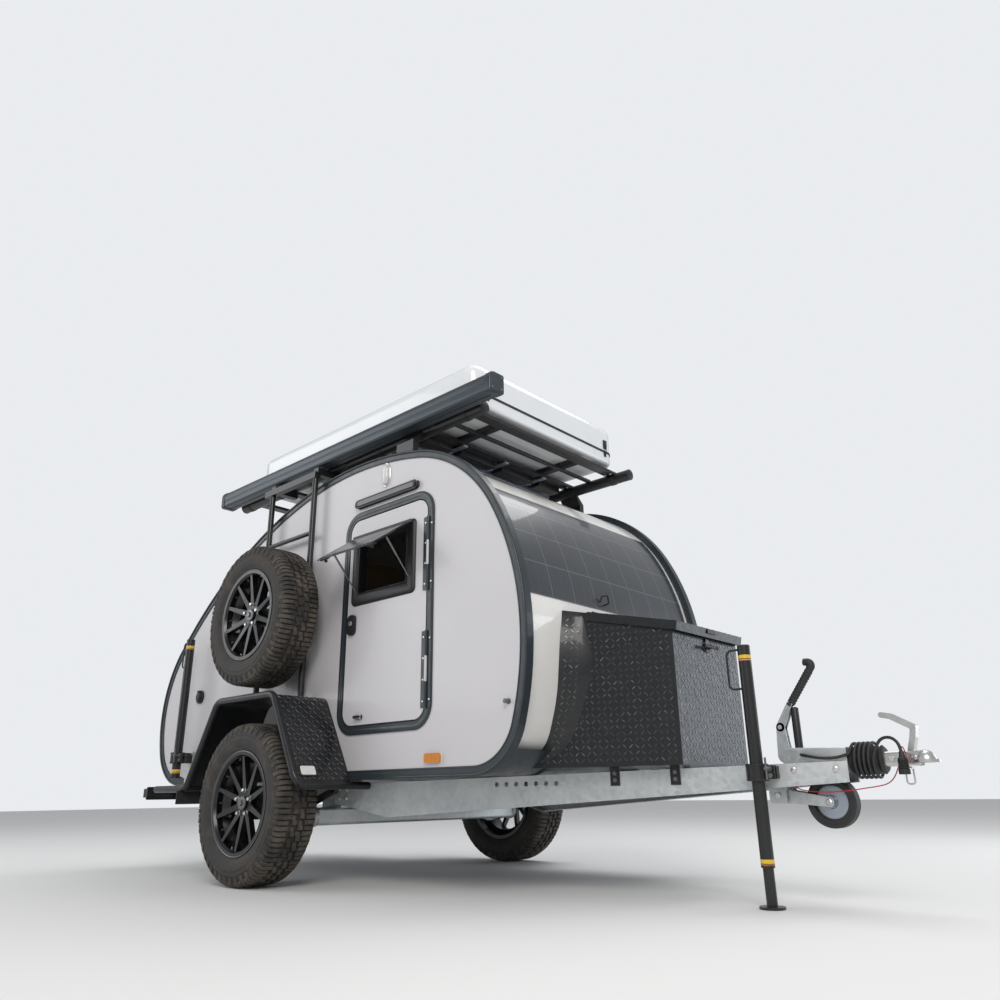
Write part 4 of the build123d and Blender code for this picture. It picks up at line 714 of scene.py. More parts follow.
def chequer(name, body, plates, lay):
    """Lugs over plates: each plate is rows of points with the point's place on its flat map."""
    sheet = Sheet()
    way, middle = lay[0], at(*lay[1])
    reach = 0.0
    for rows in plates:
        reach = max([reach] + [abs(part) for row in rows for _, spot in row for part in spot])
        made = [[sheet.corner(place, spot) for place, spot in row] for row in rows]
        for low, high in zip(made, made[1:]):
            for i in range(len(low) - 1):
                face = sheet.face([low[i], low[i + 1], high[i + 1], high[i]])
                face.normal_update()
                if face.normal.dot(face.calc_center_median() - middle) < 0:
                    face.normal_flip()
    values = {"Finish": FINISHES["lug"].material, "Pitch": LUG_PITCH / 1000,
              "Count": 2 * math.ceil(reach / LUG_PITCH) + 1, "Lay": way}
    return piece(grown(PLATE_GROWTH, sheet.finished("plate"), small_part(lug_form), values), name, body, "chequer")


BOLT = small_part(hex_head, 17, 9)
NUT = small_part(hex_head, 12, 6)
SCREW = small_part(dome_head, 5, 3)


# Cords

HOUSING_FRONT = 2490
COIL_MIDDLE = (0, 488)
COIL_RADIUS = 61.5


def build_cord(name, body, points, diameter, finish, replaced, with_pieces):
    """A cord along its route, whose points count their X from the front of the coupling housing."""
    route = [at(HOUSING_FRONT + x, y, z) for x, y, z in points]
    curve = bpy.data.curves.new(name, "CURVE")
    curve.dimensions = "3D"
    curve.bevel_depth = diameter / 2000
    curve.bevel_resolution = 3
    curve.use_fill_caps = True
    curve.resolution_u = 6
    spline = curve.splines.new("NURBS")
    spline.points.add(len(route) - 1)
    for knot, point in zip(spline.points, route):
        knot.co = (*point, 1.0)
    spline.order_u = 3
    spline.use_endpoint_u = True
    curve.materials.append(FINISHES[finish].material)
    made = bpy.data.objects.new(name, curve)
    bpy.context.scene.collection.objects.link(made)
    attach(made, body)
    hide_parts(*replaced)


def build_plug():
    """Round trailer plug with a ribbed grip, a collar and its bayonet ring, hung from the lead."""
    form = Form()
    top = (HOUSING_FRONT + 198, -71, 508)
    form.lathe(top, "z", [(7, 3), (8.5, 1), (9, -8), (10.5, -10), (11, -16), (15, -19), (15.5, -24)], 32)
    grip = []
    for low in range(-24, -54, -5):
        grip += [(15.2, low), (17.2, low - 1), (17.2, low - 3.6), (15.2, low - 4.6)]
    form.lathe(top, "z", grip, 32)
    form.lathe(top, "z", [(16, -53.5), (18.9, -55), (18.9, -71), (17.6, -72.4), (15.8, -72.4), (15.4, -66),
                          (4, -66)], 40)
    form.finish = 1
    for angle in angles_round(7):
        pin = (top[0] + 9 * math.cos(angle), top[1] + 9 * math.sin(angle), top[2])
        form.lathe(pin, "z", [(1.4, -65), (1.4, -71), (0.9, -72)], 10)
    return form.piece("trailer_plug", "trailer", "black", "zinc", replaced=("lead_plug",))


def lead_route():
    """The lead: out of the housing, nearly five turns round its front, then over to the plug."""
    start = [(-170, -42, 514), (-152, -60, 511), (-128, -70, 506), (-98, -72, 500), (-60, -68, 497),
             (-28, -63, 499), (0, -59, 506)]
    coil = []
    for step in range(60):
        angle = math.radians(157.3 - 30 * step)
        coil.append((16 + 80 * step / 59, COIL_MIDDLE[0] + COIL_RADIUS * math.cos(angle),
                     COIL_MIDDLE[1] + COIL_RADIUS * math.sin(angle)))
    end = [(104, -58, 515), (114, -48, 540), (126, -42, 556), (146, -44, 562), (168, -53, 558), (186, -63, 544),
           (195, -69, 526), (198, -71, 508)]
    return start + coil + end


BREAKAWAY_ROUTE = [
    (-200, -56, 408), (-196, -56, 399), (-182, -57, 391), (-156, -58, 386), (-118, -59, 382), (-72, -59, 381),
    (-26, -58, 383), (18, -54, 388), (58, -44, 394), (90, -24, 399), (112, 4, 406), (128, 28, 424), (140, 41, 452),
    (152, 45, 484), (164, 38, 514), (174, 16, 529), (184, -8, 530), (194, -28, 522), (202, -41, 504), (206, -46, 482),
    (207, -47, 462),
]

build_cord("trailer_lead", "trailer", lead_route(), 11.0, "rubber",
           ("lead_coil", "lead_run", "lead_tail"), (build_plug(),))
build_cord("breakaway_line", "trailer", BREAKAWAY_ROUTE, 4.0, "cable_red",
           ("breakaway_cable",), (nodes["snap_hook"],))


# Side line of the body

OUTLINE_START = (1244, 461)
# Radius and angle of each arc, from the lower front corner up, back and down to the tail
OUTLINE_ARCS = [(260, 73), (1210, 47.5), (795, 46.5), (2060, 25.5), (2500, 34.5), (590, 64)]
SKIN_SETBACK = 30


def side_line(setback, step=3.0):
    """Points of the side line in X and Z, set in from the body's edge."""
    x, z = OUTLINE_START
    heading, points = 0.0, []
    turned = sum(turn for _, turn in OUTLINE_ARCS)
    for radius, turn in OUTLINE_ARCS + [(None, 360 - turned)]:
        if radius is None:
            radius = (z - OUTLINE_START[1]) / (1 - math.cos(heading))
        centre_x, centre_z = x - radius * math.sin(heading), z + radius * math.cos(heading)
        steps = math.ceil(turn / step)
        for i in range(steps + 1):
            angle = heading + math.radians(turn) * i / steps
            points.append((centre_x + (radius - setback) * math.sin(angle),
                           centre_z - (radius - setback) * math.cos(angle)))
        heading += math.radians(turn)
        x, z = centre_x + radius * math.sin(heading), centre_z - radius * math.cos(heading)
    return points


def front_x(height):
    """Place of the front of the body's skin at a height."""
    line = [point for point in side_line(SKIN_SETBACK) if point[0] > 0]
    for (x0, z0), (x1, z1) in zip(line, line[1:]):
        if z0 <= height <= z1:
            return x0 + (x1 - x0) * (height - z0) / max(z1 - z0, 0.001)
    return line[0][0]


# Wheels

TYRE_RADIUS = 363
HALF_TRACK = 905
TREAD_PITCHES = 46
# Radius and distance from the middle of the outer surface of half a tyre
TYRE_SIDE = [
    (222, 90.6), (235.5, 91), (241, 97.5), (246, 98.5), (256, 106), (272, 110.4), (286, 111.6), (288, 112.3),
    (291, 112.3), (293, 111.3), (306, 109.6), (308, 110.4), (311, 110.2), (313, 108.6), (328, 105), (340, 99.5),
    (347, 91), (350.5, 78), (352.5, 40), (353, 0),
]
TYRE_INSIDE = [(344, 0), (341, 70), (322, 92), (280, 99), (240, 88), (223, 74)]
# Place round the tread and across it of one zigzag block of the two middle rows
ZIGZAG_BLOCK = [(2, 3.5), (19, 3.5), (27, 12), (45, 12), (45, 34), (28, 34), (20, 26), (2, 26)]
# Start and end round the tread, then distance across, foot and top radius at each station of a shoulder lug
SHOULDER_LUGS = [
    ((1, 22), [(39, 350, 362.4), (78, 349, 361.4), (95, 344, 356), (103, 336, 346.5), (109.4, 318, 326)]),
    ((26, 46), [(47, 350, 362.4), (78, 349, 361.4), (93, 344, 356.5), (101, 337, 347)]),
]


def tread_pitch(form):
    """One pitch of the tread, drawn at the top of the wheel."""
    pitch = 2 * math.pi * TYRE_RADIUS / TREAD_PITCHES

    def on_tread(along, across, radius):
        angle = along / TYRE_RADIUS
        return (radius * math.sin(angle), across, radius * math.cos(angle))

    for turned in (False, True):
        plan = [(1.5 * pitch - u, -v) if turned else (u, v) for u, v in ZIGZAG_BLOCK]
        middle = [sum(values) / len(plan) for values in zip(*plan)]
        top = [(middle[0] + (u - middle[0]) * 0.93, middle[1] + (v - middle[1]) * 0.92) for u, v in plan]
        form.rings([[on_tread(u, v, 351) for u, v in plan], [on_tread(u, v, 362.7) for u, v in top]])
    for side in (-1, 1):
        shift = 0 if side > 0 else pitch / 2
        for (first, last), stations in SHOULDER_LUGS:
            rings = []
            for across, foot, top in stations:
                corners = [(first, foot), (last, foot), (last - 1.6, top), (first + 1.6, top)]
                rings.append([on_tread(u + shift, side * across, radius) for u, radius in corners])
            form.rings(rings)


def build_tyre(name, body, centre, replaced):
    """Carcass with its side rings, and the tread grown round it."""
    form = Form()
    outside = TYRE_SIDE + [(radius, -depth) for radius, depth in reversed(TYRE_SIDE[:-1])]
    inside = [(radius, -depth) for radius, depth in reversed(TYRE_INSIDE)] + TYRE_INSIDE[1:]
    form.lathe(centre, "y", outside + inside + outside[:1], 92, False)
    carcass = form.finished(name, 50.0)
    carcass.materials.append(FINISHES["tyre"].material)
    values = {"Count": TREAD_PITCHES, "Centre": at(*centre), "Finish": FINISHES["tread"].material}
    piece(grown(WHEEL_GROWTH, carcass, small_part(tread_pitch), values), name, body, "tyre", replaced=(replaced,))


def outward(way, profile):
    """A lathe's profile with its depths counted one way or the other."""
    return [(radius, way * depth) for radius, depth in profile]


def barrel_bolt(form, side):
    form.rings([[(4.2 * math.cos(a), side * 66 + 4.2 * math.sin(a), radius) for a in angles_round(6)]
                for radius in (208.5, 202)])


def wheel_nut(form, side):
    turn = math.radians(18)
    place = (-56 * math.cos(turn), 0, 56 * math.sin(turn))
    form.lathe(place, "y", outward(side, [(11.5, 62), (11.5, 67), (9.5, 68), (9.5, 79), (6.5, 82)]), 6)


def build_rim_fittings(name, body, centre, side):
    """Lip, centre cap, wheel nuts and the bolts round the barrel."""
    form = Form()
    lip = [(230.5, 95.5), (234.2, 95.5), (234.6, 98.4), (232.6, 99.2), (230.5, 98), (230.5, 95.5)]
    form.lathe(centre, "y", outward(side, lip), 92, False)
    form.lathe(centre, "y", outward(side, [(32, 70), (31.5, 76), (27, 80), (18, 81)]), 36)
    form.lathe(centre, "y", outward(side, [(15, 80), (15, 87), (12, 89)]), 6)
    lips = form.finished(name)
    lips.materials.append(FINISHES["dull_metal"].material)
    values = {"Count": 20, "Centre": at(*centre), "Finish": FINISHES["zinc"].material}
    bolted = grown(WHEEL_GROWTH, lips, small_part(barrel_bolt, side), values)
    values["Count"] = 5
    piece(grown(WHEEL_GROWTH, bolted, small_part(wheel_nut, side), values), name, body, "zinc")


WHEEL_PLACES = {
    "left": ((0, HALF_TRACK, TYRE_RADIUS), "wheel_left", 1, "tyre_left"),
    "right": ((0, -HALF_TRACK, TYRE_RADIUS), "wheel_right", -1, "tyre_right"),
    "spare": ((-112, -888, 1275), "trailer", -1, "spare_tyre"),
}
for place, (centre, body, side, node) in WHEEL_PLACES.items():
    build_tyre("treaded_tyre_" + place, body, centre, node)
    build_rim_fittings("rim_fittings_" + place, body, centre, side)


# Chequer plate

FENDER_LINE = [(-513, 432), (-277, 845), (227, 845), (463, 432)]
FENDER_BEND = 62
FENDER_SKIN = 1.6
BOX_REAR, BOX_FRONT = 1530, 1950
BOX_HALF_REAR, BOX_HALF_FRONT = 412, 270
BOX_FOOT = 486
UPRIGHT, SIDEWAYS = (0, 0, 1), (0, 1, 0)
FENDER_MIDDLE = (0, 844, TYRE_RADIUS)
BOX_MIDDLE = (1650, 0, 760)
BOX_TOP_REAR, BOX_TOP_FRONT = 1127, 1042
BOX_SLOPE = (BOX_TOP_REAR - BOX_TOP_FRONT) / (BOX_FRONT - BOX_REAR)
# Height, bulge at the body and reach of the flared strip
BOX_FLARE = [(486, 0.5, 84), (560, 8, 82), (640, 28, 76), (760, 34, 90), (900, 42, 104), (1010, 34, 86),
             (1140, 0.5, 68)]
FLARE_SKIN = 2.4
LID_HINGE_X = 1610
LID_LIP = 34
LID_FACE = 3.3
# Height where the box's lugs start, and the middles of the plates' flat maps
LUG_FOOT = BOX_FOOT + 10
SIDE_MAP_X, FENDER_MAP_RUN, LID_MAP_RUN = 1760, 680, 190


def box_half(x):
    """Half the box's width at a place along it."""
    return BOX_HALF_REAR + (BOX_HALF_FRONT - BOX_HALF_REAR) * (x - BOX_REAR) / (BOX_FRONT - BOX_REAR)


def box_rim(x):
    """Height of the box's sloping top."""
    return BOX_TOP_REAR - BOX_SLOPE * (x - BOX_REAR)


def flare_at(height):
    """Bulge and reach of the flared strip at a height."""
    for (z0, bulge0, reach0), (z1, bulge1, reach1) in zip(BOX_FLARE, BOX_FLARE[1:]):
        if z0 <= height <= z1:
            share = (height - z0) / (z1 - z0)
            return bulge0 + (bulge1 - bulge0) * share, reach0 + (reach1 - reach0) * share
    return BOX_FLARE[-1][1:]


def fender_rows(side):
    """The fender's upper skin from the tail foot over the top to the front foot."""
    path = bent([(x, 0, z) for x, z in FENDER_LINE], FENDER_BEND, 8)
    path[0], path[-1] = path[0].lerp(path[1], 0.06), path[-1].lerp(path[-2], 0.06)
    rows, run = [], 0.0
    for index, point in enumerate(path):
        before, after = path[max(index - 1, 0)], path[min(index + 1, len(path) - 1)]
        run += (point - before).length
        tangent = (after - before).normalized()
        skin = point + Vector((-tangent.z, 0, tangent.x)) * FENDER_SKIN
        rows.append([((skin.x, side * y, skin.z), (run - FENDER_MAP_RUN, y - FENDER_MIDDLE[1])) for y in (709, 981)])
    return rows


def box_side_rows(side):
    """The box's side from its foot to under the lid, behind the flared strip's edge."""
    rows = []
    run = math.hypot(1, (BOX_HALF_REAR - BOX_HALF_FRONT) / (BOX_FRONT - BOX_REAR))
    for step in range(13):
        row = []
        for share in (0, 0.5, 1):
            guess = LUG_FOOT + (1040 - LUG_FOOT) * step / 12
            rear = front_x(guess) + flare_at(guess)[1] + 4
            x = rear + (BOX_FRONT - 5 - rear) * share
            z = LUG_FOOT + (box_rim(x) - LID_LIP - 6 - LUG_FOOT) * step / 12
            row.append(((x, side * box_half(x), z), ((x - SIDE_MAP_X) * run, z - BOX_MIDDLE[2])))
        rows.append(row)
    return rows


def smooth_flare(height):
    """Bulge and reach of the flared strip on a smooth curve through its stations."""
    stations = [BOX_FLARE[0]] + BOX_FLARE + [BOX_FLARE[-1]]
    for before, low, high, after in zip(stations, stations[1:], stations[2:], stations[3:]):
        if low[0] <= height <= high[0] and high[0] > low[0]:
            t = (height - low[0]) / (high[0] - low[0])
            values = []
            for a, b, c, d in zip(before[1:], low[1:], high[1:], after[1:]):
                values.append(b + 0.5 * t * (c - a + t * (2 * a - 5 * b + 4 * c - d + t * (3 * (b - c) + d - a))))
            return values
    return BOX_FLARE[-1][1:]


def build_flare_skins():
    """Smoothly bent sheet over the flared strips, where the side sheet turns out to the body."""
    form = Form()
    for _ in form.both_sides():
        rings = []
        for step in range(33):
            z = BOX_FOOT + 0.4 + (1102 - BOX_FOOT) * step / 32
            bulge, reach = smooth_flare(z)
            nose = front_x(z) + 2
            bend, body = box_half(nose + reach), box_half(nose) + bulge
            ring = [(nose + reach + 10, box_half(nose + reach + 10) - 1), (nose + reach + 8, bend + 0.2),
                    (nose + reach * 0.5, (bend + body) / 2 + 1.6), (nose, body + FLARE_SKIN),
                    (nose, body - 3), (nose + reach * 0.5, (bend + body) / 2 - 3)]
            rings.append([(x, y, z) for x, y in ring])
        form.rings(rings)
    form.piece("box_flare_skins", "trailer", "chequer", crease=40)


def flare_rows(side):
    """The flared strip from the body to its bend, on its own sheet."""
    rows = []
    for step in range(33):
        z = LUG_FOOT + (1090 - LUG_FOOT) * step / 32
        bulge, reach = smooth_flare(z)
        bulge += FLARE_SKIN
        nose = front_x(z) + 2
        width = math.hypot(reach, box_half(nose) + bulge - box_half(nose + reach))
        middle = (box_half(nose) + bulge + box_half(nose + reach)) / 2 + 0.6
        rows.append([((nose + 3, side * (box_half(nose + 3) + bulge), z), (3, z - BOX_MIDDLE[2])),
                     ((nose + reach / 2, side * middle, z), (width / 2, z - BOX_MIDDLE[2])),
                     ((nose + reach, side * (box_half(nose + reach) + 0.4), z), (width, z - BOX_MIDDLE[2]))])
    return rows


def box_front_rows():
    half = BOX_HALF_FRONT - 5
    return [[((BOX_FRONT, y, z), (y, z - BOX_MIDDLE[2])) for y in (-half, half)]
            for z in (LUG_FOOT, BOX_TOP_FRONT - LID_LIP - 6)]


def lid_rows():
    tilt = math.atan(BOX_SLOPE)
    length = (BOX_FRONT - LID_HINGE_X) / math.cos(tilt) + 30
    rows = []
    for run in (14, length - 4):
        half = BOX_HALF_FRONT + 8 + (box_half(LID_HINGE_X) - BOX_HALF_FRONT) * (1 - run / length) - 6
        x = LID_HINGE_X + run * math.cos(tilt) + LID_FACE * math.sin(tilt)
        z = box_rim(LID_HINGE_X) - run * math.sin(tilt) + LID_FACE * math.cos(tilt)
        rows.append([((x, y, z), (run - LID_MAP_RUN, y)) for y in (-half, half)])
    return rows


build_flare_skins()
for hand, side in HANDS:
    chequer("fender_lugs_" + hand, "trailer", [fender_rows(side)],
            (SIDEWAYS, (FENDER_MIDDLE[0], side * FENDER_MIDDLE[1], FENDER_MIDDLE[2])))
    chequer("box_side_lugs_" + hand, "trailer", [box_side_rows(side)], (UPRIGHT, BOX_MIDDLE))
    chequer("box_flare_lugs_" + hand, "trailer", [flare_rows(side)], (UPRIGHT, BOX_MIDDLE))
chequer("box_front_lugs", "trailer", [box_front_rows()], (UPRIGHT, BOX_MIDDLE))
chequer("lid_lugs", "box_lid", [lid_rows()], (SIDEWAYS, BOX_MIDDLE))


# Body trim, doors and windows

DOOR = (372, 950, 700, 1720)
DOOR_CORNER = 66
HINGE_X, HINGE_Y = 964, 714
HINGE_HEIGHTS = [(745, 1080), (1270, 1620)]
KNOB = (1440, 0, 735)
WINDOW = (402, 875, 1272, 1638)
WINDOW_CORNER = 28
WINDOW_FACE = 705
PANE_HANG = (723, 1616)
PANE_LENGTH = 275
PANE_OPEN = {"left": 0, "right": 55}


def round_section(inset, depth, radius, sides=10):
    """A round section for a moulding."""
    return [(inset + radius * math.cos(angle), depth + radius * math.sin(angle)) for angle in angles_round(sides)]


def build_edge_beads():
    """The bead and the fine ridge that run round the side walls' edge covers."""
    form = Form()
    for _ in form.both_sides():
        form.moulding(side_line, "y", round_section(1.5, 705, 6))
        form.moulding(side_line, "y", round_section(31, 704, 2.6, 8))
    form.piece("edge_beads", "trailer", "profile", crease=50)


def build_door_trims():
    """Crowned face and lip of the door frames, and the seal in each gap."""
    sections = {
        "door_frame_faces": ("profile", [
            [(-44.5, 704), (-43.5, 706.6), (-39, 708.4), (-24, 708.6), (-20.5, 707.4), (-20, 704)],
            [(-7.5, 705), (-7.5, 707.0), (-5.2, 707.6), (-5.2, 705)]]),
        "door_seals": ("rubber", [[(-5.1, 690), (-5.1, 703.5), (-2.4, 705.5), (-1.6, 703), (-2.2, 690)]]),
    }
    for name, (finish, mouldings) in sections.items():
        form = Form()
        for _ in form.both_sides():
            for section in mouldings:
                form.moulding(rounded(*DOOR, DOOR_CORNER), "y", section)
        form.piece(name, "trailer", finish)


def build_door_fittings(hand, side):
    """Lock, catch, hinge leaves and screws of one door."""
    form = Form(side)
    for foot, head in HINGE_HEIGHTS:
        form.wall_plate(rounded(931, 955, foot, head, 4), 706.2, 710.2, 0.8)
    form.piece("door_hinge_leaves_" + hand, "door_" + hand, "profile")
    form = Form(side)
    form.wall_plate(rounded(391.5, 442.5, 1132.5, 1227.5, 19.5), 704.6, 718.6, 3)
    form.wall_plate(rounded(400, 434, 1141, 1219, 14), 718, 720.6)
    form.wall_plate(rounded(476.5, 523.5, 725.5, 744.5, 4), 704.6, 711)
    form.wall_plate(rounded(477, 523, 730, 740, 4), 710, 724.2, 2)
    form.block(415.6, 418.4, 722, 723.2, 1183, 1193)
    form.wall_plate(rounded(409, 425, 1146, 1168, 6), 720, 723)
    form.finish = 1
    form.lathe((417, 0, 1188), "y", [(12, 719), (12, 722), (9.5, 723.4), (9, 722.4)], 28)
    form.piece("door_lock_" + hand, "door_" + hand, "black", "zinc")
    spots = [((943, side * 710, foot + (head - foot) * share), (0, side, 0))
             for foot, head in HINGE_HEIGHTS for share in (0.08, 0.36, 0.64, 0.92)]
    fixings("door_hinge_screws_" + hand, "door_" + hand, "zinc", SCREW, spots)


def build_hinge_pins():
    """Pin ends and screws on the fixed hinge leaves, and the holdback knobs' caps."""
    form = Form()
    spots = []
    for side in form.both_sides():
        for foot, head in HINGE_HEIGHTS:
            for z, way in ((foot, -1), (head, 1)):
                form.lathe((HINGE_X, HINGE_Y, z), "z", outward(way, [(5, -3), (5, 2.4), (3.6, 4)]), 16)
            spots += [((984, side * 709, foot + (head - foot) * share), (0, side, 0)) for share in (0.1, 0.9)]
        form.lathe(KNOB, "y", [(7.9, 703), (7.9, 716), (9.6, 718), (9.6, 724), (7, 725.6), (4, 725.8)], 24)
        form.lathe(KNOB, "y", [(12, 699), (12, 702.5), (8, 704)], 24)
    form.piece("hinge_pins_and_knobs", "trailer", "dull_metal")
    fixings("fixed_hinge_screws", "trailer", "zinc", SCREW, spots)


def build_window(hand, side):
    """Window in its bevelled frame: the pane hung at its head, with hinge bar, handles and stays."""
    form = Form(side)
    line = rounded(*WINDOW, WINDOW_CORNER, 8)
    outer = WINDOW_FACE
    form.moulding(line, "y", [
        (0.3, outer), (3, outer + 6), (9, outer + 12.4), (15, outer + 14), (40, outer + 14), (46, outer + 11),
        (50, outer + 11), (56, outer + 6), (61.5, outer + 4.5), (61.5, outer - 36), (18.5, outer - 36), (18.5, outer)])
    form.moulding(line, "y", [(55, outer + 5), (57, outer + 13), (59.5, outer + 13), (60.5, outer + 4)])
    hang_y, hang_z = PANE_HANG
    x0, x1 = WINDOW[0] + 14, WINDOW[1] - 14
    form.wall_plate(rounded(x0, x1, hang_z + 3, hang_z + 13, 4), outer + 2, hang_y + 4, 1.5)
    open_angle = math.radians(PANE_OPEN[hand])
    sine, cosine = math.sin(open_angle), math.cos(open_angle)

    def on_pane(point):
        x, out, drop = point
        return x, hang_y + out * cosine + drop * sine, hang_z + out * sine - drop * cosine

    form.turn = on_pane
    form.rings([[(x, 5 * math.cos(a), 5 * math.sin(a)) for a in angles_round(12)] for x in (x0, x1)])
    for x in (x0 + 46, x1 - 46):
        form.block(x - 28, x + 28, -9, 0, PANE_LENGTH - 34, PANE_LENGTH - 16)
        form.block(x - 5, x + 5, -22, -8, PANE_LENGTH - 31, PANE_LENGTH - 19)
    form.finish = 1
    pane_line = rounded(x0, x1, 1, PANE_LENGTH, 26, 8)
    form.plate(pane_line, "y", 0, 5, 1.2)
    form.plate(pane_line, "y", 5, 7.5, 2.2, 16)
    form.turn, form.side, form.finish = None, 1, 2
    if open_angle:
        for x in (x0 + 22, x1 - 22):
            ends = ((x, outer + 8, WINDOW[2] + 74), on_pane((x, -5, 0.62 * PANE_LENGTH)))
            start, end = [Vector((end_x, side * end_y, end_z)) for end_x, end_y, end_z in ends]
            form.tube([start, end], 3.4, 10)
            form.tube([start.lerp(end, 0.55), end], 5.2, 10)
    form.piece("window_unit_" + hand, "door_" + hand, "black", "glass", "dull_metal",
               replaced=("window_" + hand,), crease=40)


build_edge_beads()
build_door_trims()
build_hinge_pins()
for hand, side in HANDS:
    build_door_fittings(hand, side)
    build_window(hand, side)


# Lamps, outlet and solar panel


def ellipse(x, z, half_x, half_z):
    """Like rounded, for an ellipse."""

    def outline_at(inset):
        return [(x + (half_x - inset) * math.cos(a), z + (half_z - inset) * math.sin(a)) for a in angles_round(36)]

    return outline_at


def build_side_lamps():
    """Work lamps over the doors, gable lamps and the fenders' reflectors."""
    form = Form()
    (head_x, head_z), (foot_x, foot_z) = FENDER_LINE[2:]
    slope = math.atan2(head_z - foot_z, foot_x - head_x)
    gable = ellipse(632, 1922, 26, 62)

    def on_slope(point):
        """A place on the fender's front, by the way up it from its foot, Y and the height over it."""
        along, across, up = point
        return (foot_x - along * math.cos(slope) + up * math.sin(slope), across,
                foot_z + along * math.sin(slope) + up * math.cos(slope))

    for _ in form.both_sides():
        form.finish = 0
        form.wall_plate(rounded(410, 880, 1790, 1826, 17), 700, 720, 5)
        for x in (418, 860):
            form.wall_plate(rounded(x, x + 12, 1797, 1819, 4), 719, 725)
        form.finish = 4
        form.wall_plate(rounded(430, 860, 1799, 1817, 8), 719, 724.6, 3)
        form.finish = 2
        form.wall_plate(gable, 700, 707, 2)
        form.finish = 1
        form.layers(gable, "y", [(3, 706), (4, 712), (8, 718), (14, 721), (22, 722)])
        form.turn = on_slope
        form.finish = 0
        form.plate(rounded(43, 99, 879, 971, 13), "z", 1.4, 6)
        form.finish = 3
        form.plate(rounded(49, 93, 886, 964, 9), "z", 5.6, 11.4, 2)
        form.turn = None
    form.piece("lamps_on_the_sides", "trailer", "black", "clear", "zinc", "reflector", "strip",
               replaced=("side_lamps",), crease=40)


def build_marker_lamps():
    form = Form()
    for _ in form.both_sides():
        form.finish = 1
        form.wall_plate(rounded(964.5, 1060.5, 515.5, 554.5, 6), 700, 704)
        form.finish = 0
        form.wall_plate(rounded(968, 1057, 519, 551, 5), 703.6, 715, 3.5)
        for x in (990, 1012, 1034):
            form.block(x - 0.8, x + 0.8, 714, 715.8, 521, 549)
    form.piece("marker_lamp_units", "trailer", "amber", "reflector", replaced=("marker_lamps",), crease=40)


def build_tail_lamps():
    """Tail lamps of three lenses, and the blank plate between them."""
    form = Form()
    inner, width = 520, 220
    for _ in form.both_sides():
        form.finish = 0
        form.plate(rounded(inner, inner + width, 380, 452, 9), "x", -1489.5, -1496, -1)
        for finish, first, last in ((1, 0.30, 0.62), (2, 0.64, 0.97), (3, 0.03, 0.28)):
            form.finish = finish
            lens_line = rounded(inner + width * first, inner + width * last, 385, 447, 6)
            form.plate(lens_line, "x", -1495.5, -1502, -2)
    form.finish = 0
    form.plate(rounded(-268, 268, 376, 496, 8), "x", -1489, -1494, -1)
    form.finish = 4
    form.plate(rounded(-260, 260, 383, 489, 6), "x", -1493.6, -1496.4, -0.6)
    form.piece("tail_lamp_units", "trailer", "black", "red", "amber", "clear", "reflector",
               replaced=("tail_lamps",), crease=40)


def build_outlet_flap():
    """Ring, flap and hinge of the round power inlet."""
    form = Form()
    centre = (-1030, 0, 953)
    form.lathe(centre, "y", [(38.4, -699), (38.4, -710), (36, -713.2), (30, -713.6)], 48)
    form.lathe(centre, "y", [(28, -713), (28, -718), (24, -720.5), (10, -721.5)], 48)
    form.block(-1044, -1016, -722, -711, 977, 990)
    form.piece("power_inlet_flap", "trailer", "black", soften=0.8)


def build_solar_panel():
    """Flexible panel on the front of the roof, with its own flat map for the cells."""
    line = [point for point in side_line(SKIN_SETBACK - 3, 1.0) if point[0] > 0 and 1172 <= point[1] <= 1722]
    backs = [point for point in side_line(SKIN_SETBACK - 0.2, 1.0) if point[0] > 0]
    sheet = Sheet()
    rings, run, half = [], 0.0, 640
    for index, (x, z) in enumerate(line):
        if index:
            run += math.dist(line[index], line[index - 1])
        back_x, back_z = min(backs, key=lambda point: math.dist(point, (x, z)))
        corners = [(x, -half, z), (x, half, z), (back_x, half, back_z), (back_x, -half, back_z)]
        rings.append([sheet.corner(corner, (corner[1], run)) for corner in corners])
    for low, high in zip(rings, rings[1:]):
        for i in range(4):
            sheet.face([low[i - 1], low[i], high[i], high[i - 1]])
    sheet.face(list(reversed(rings[0])))
    sheet.face(rings[-1])
    bmesh.ops.recalc_face_normals(sheet.mesh, faces=sheet.mesh.faces)
    piece(sheet.finished("solar"), "solar_panel_sheet", "trailer", "solar", replaced=("solar_panel",))


build_side_lamps()
build_marker_lamps()
build_tail_lamps()
build_outlet_flap()
build_solar_panel()


# Roof load

RAIL_Y, RAIL_Z = 614, 2130
SLATS = range(1120, -801, -320)
AWNING_ENDS, AWNING_MIDDLE = (-916, 1366), (-700, 2168)
AWNING_CASE = [(-653, 2131, 4), (-669, 2117, 4), (-700, 2117, 0.6), (-700, 2121, 0.6), (-706, 2121, 0.6),
               (-706, 2117, 0.6), (-738, 2117, 6), (-746, 2127, 5), (-746, 2150, 0.4), (-744.4, 2151, 0.4),
               (-744.4, 2154, 0.4), (-746, 2155, 0.4), (-746, 2219, 30), (-653, 2219, 6)]
AWNING_CAP = [(-650, 2128, 5), (-667, 2114, 5), (-740, 2114, 8), (-749, 2124, 6), (-749, 2222, 33), (-650, 2222, 8)]
AWNING_CAP_FACE = [(-658, 2134, 4), (-672, 2122, 4), (-734, 2122, 6), (-741, 2131, 5), (-741, 2214, 26),
                   (-658, 2214, 6)]


def awning_cap(corners):
    """A function that gives an end cap's outline, set in towards its middle by any amount."""

    def outline_at(inset):
        return [(y + inset * (1 if y < AWNING_MIDDLE[0] else -1), z + inset * (1 if z < AWNING_MIDDLE[1] else -1))
                for y, z in soft_polygon(corners)]

    return outline_at


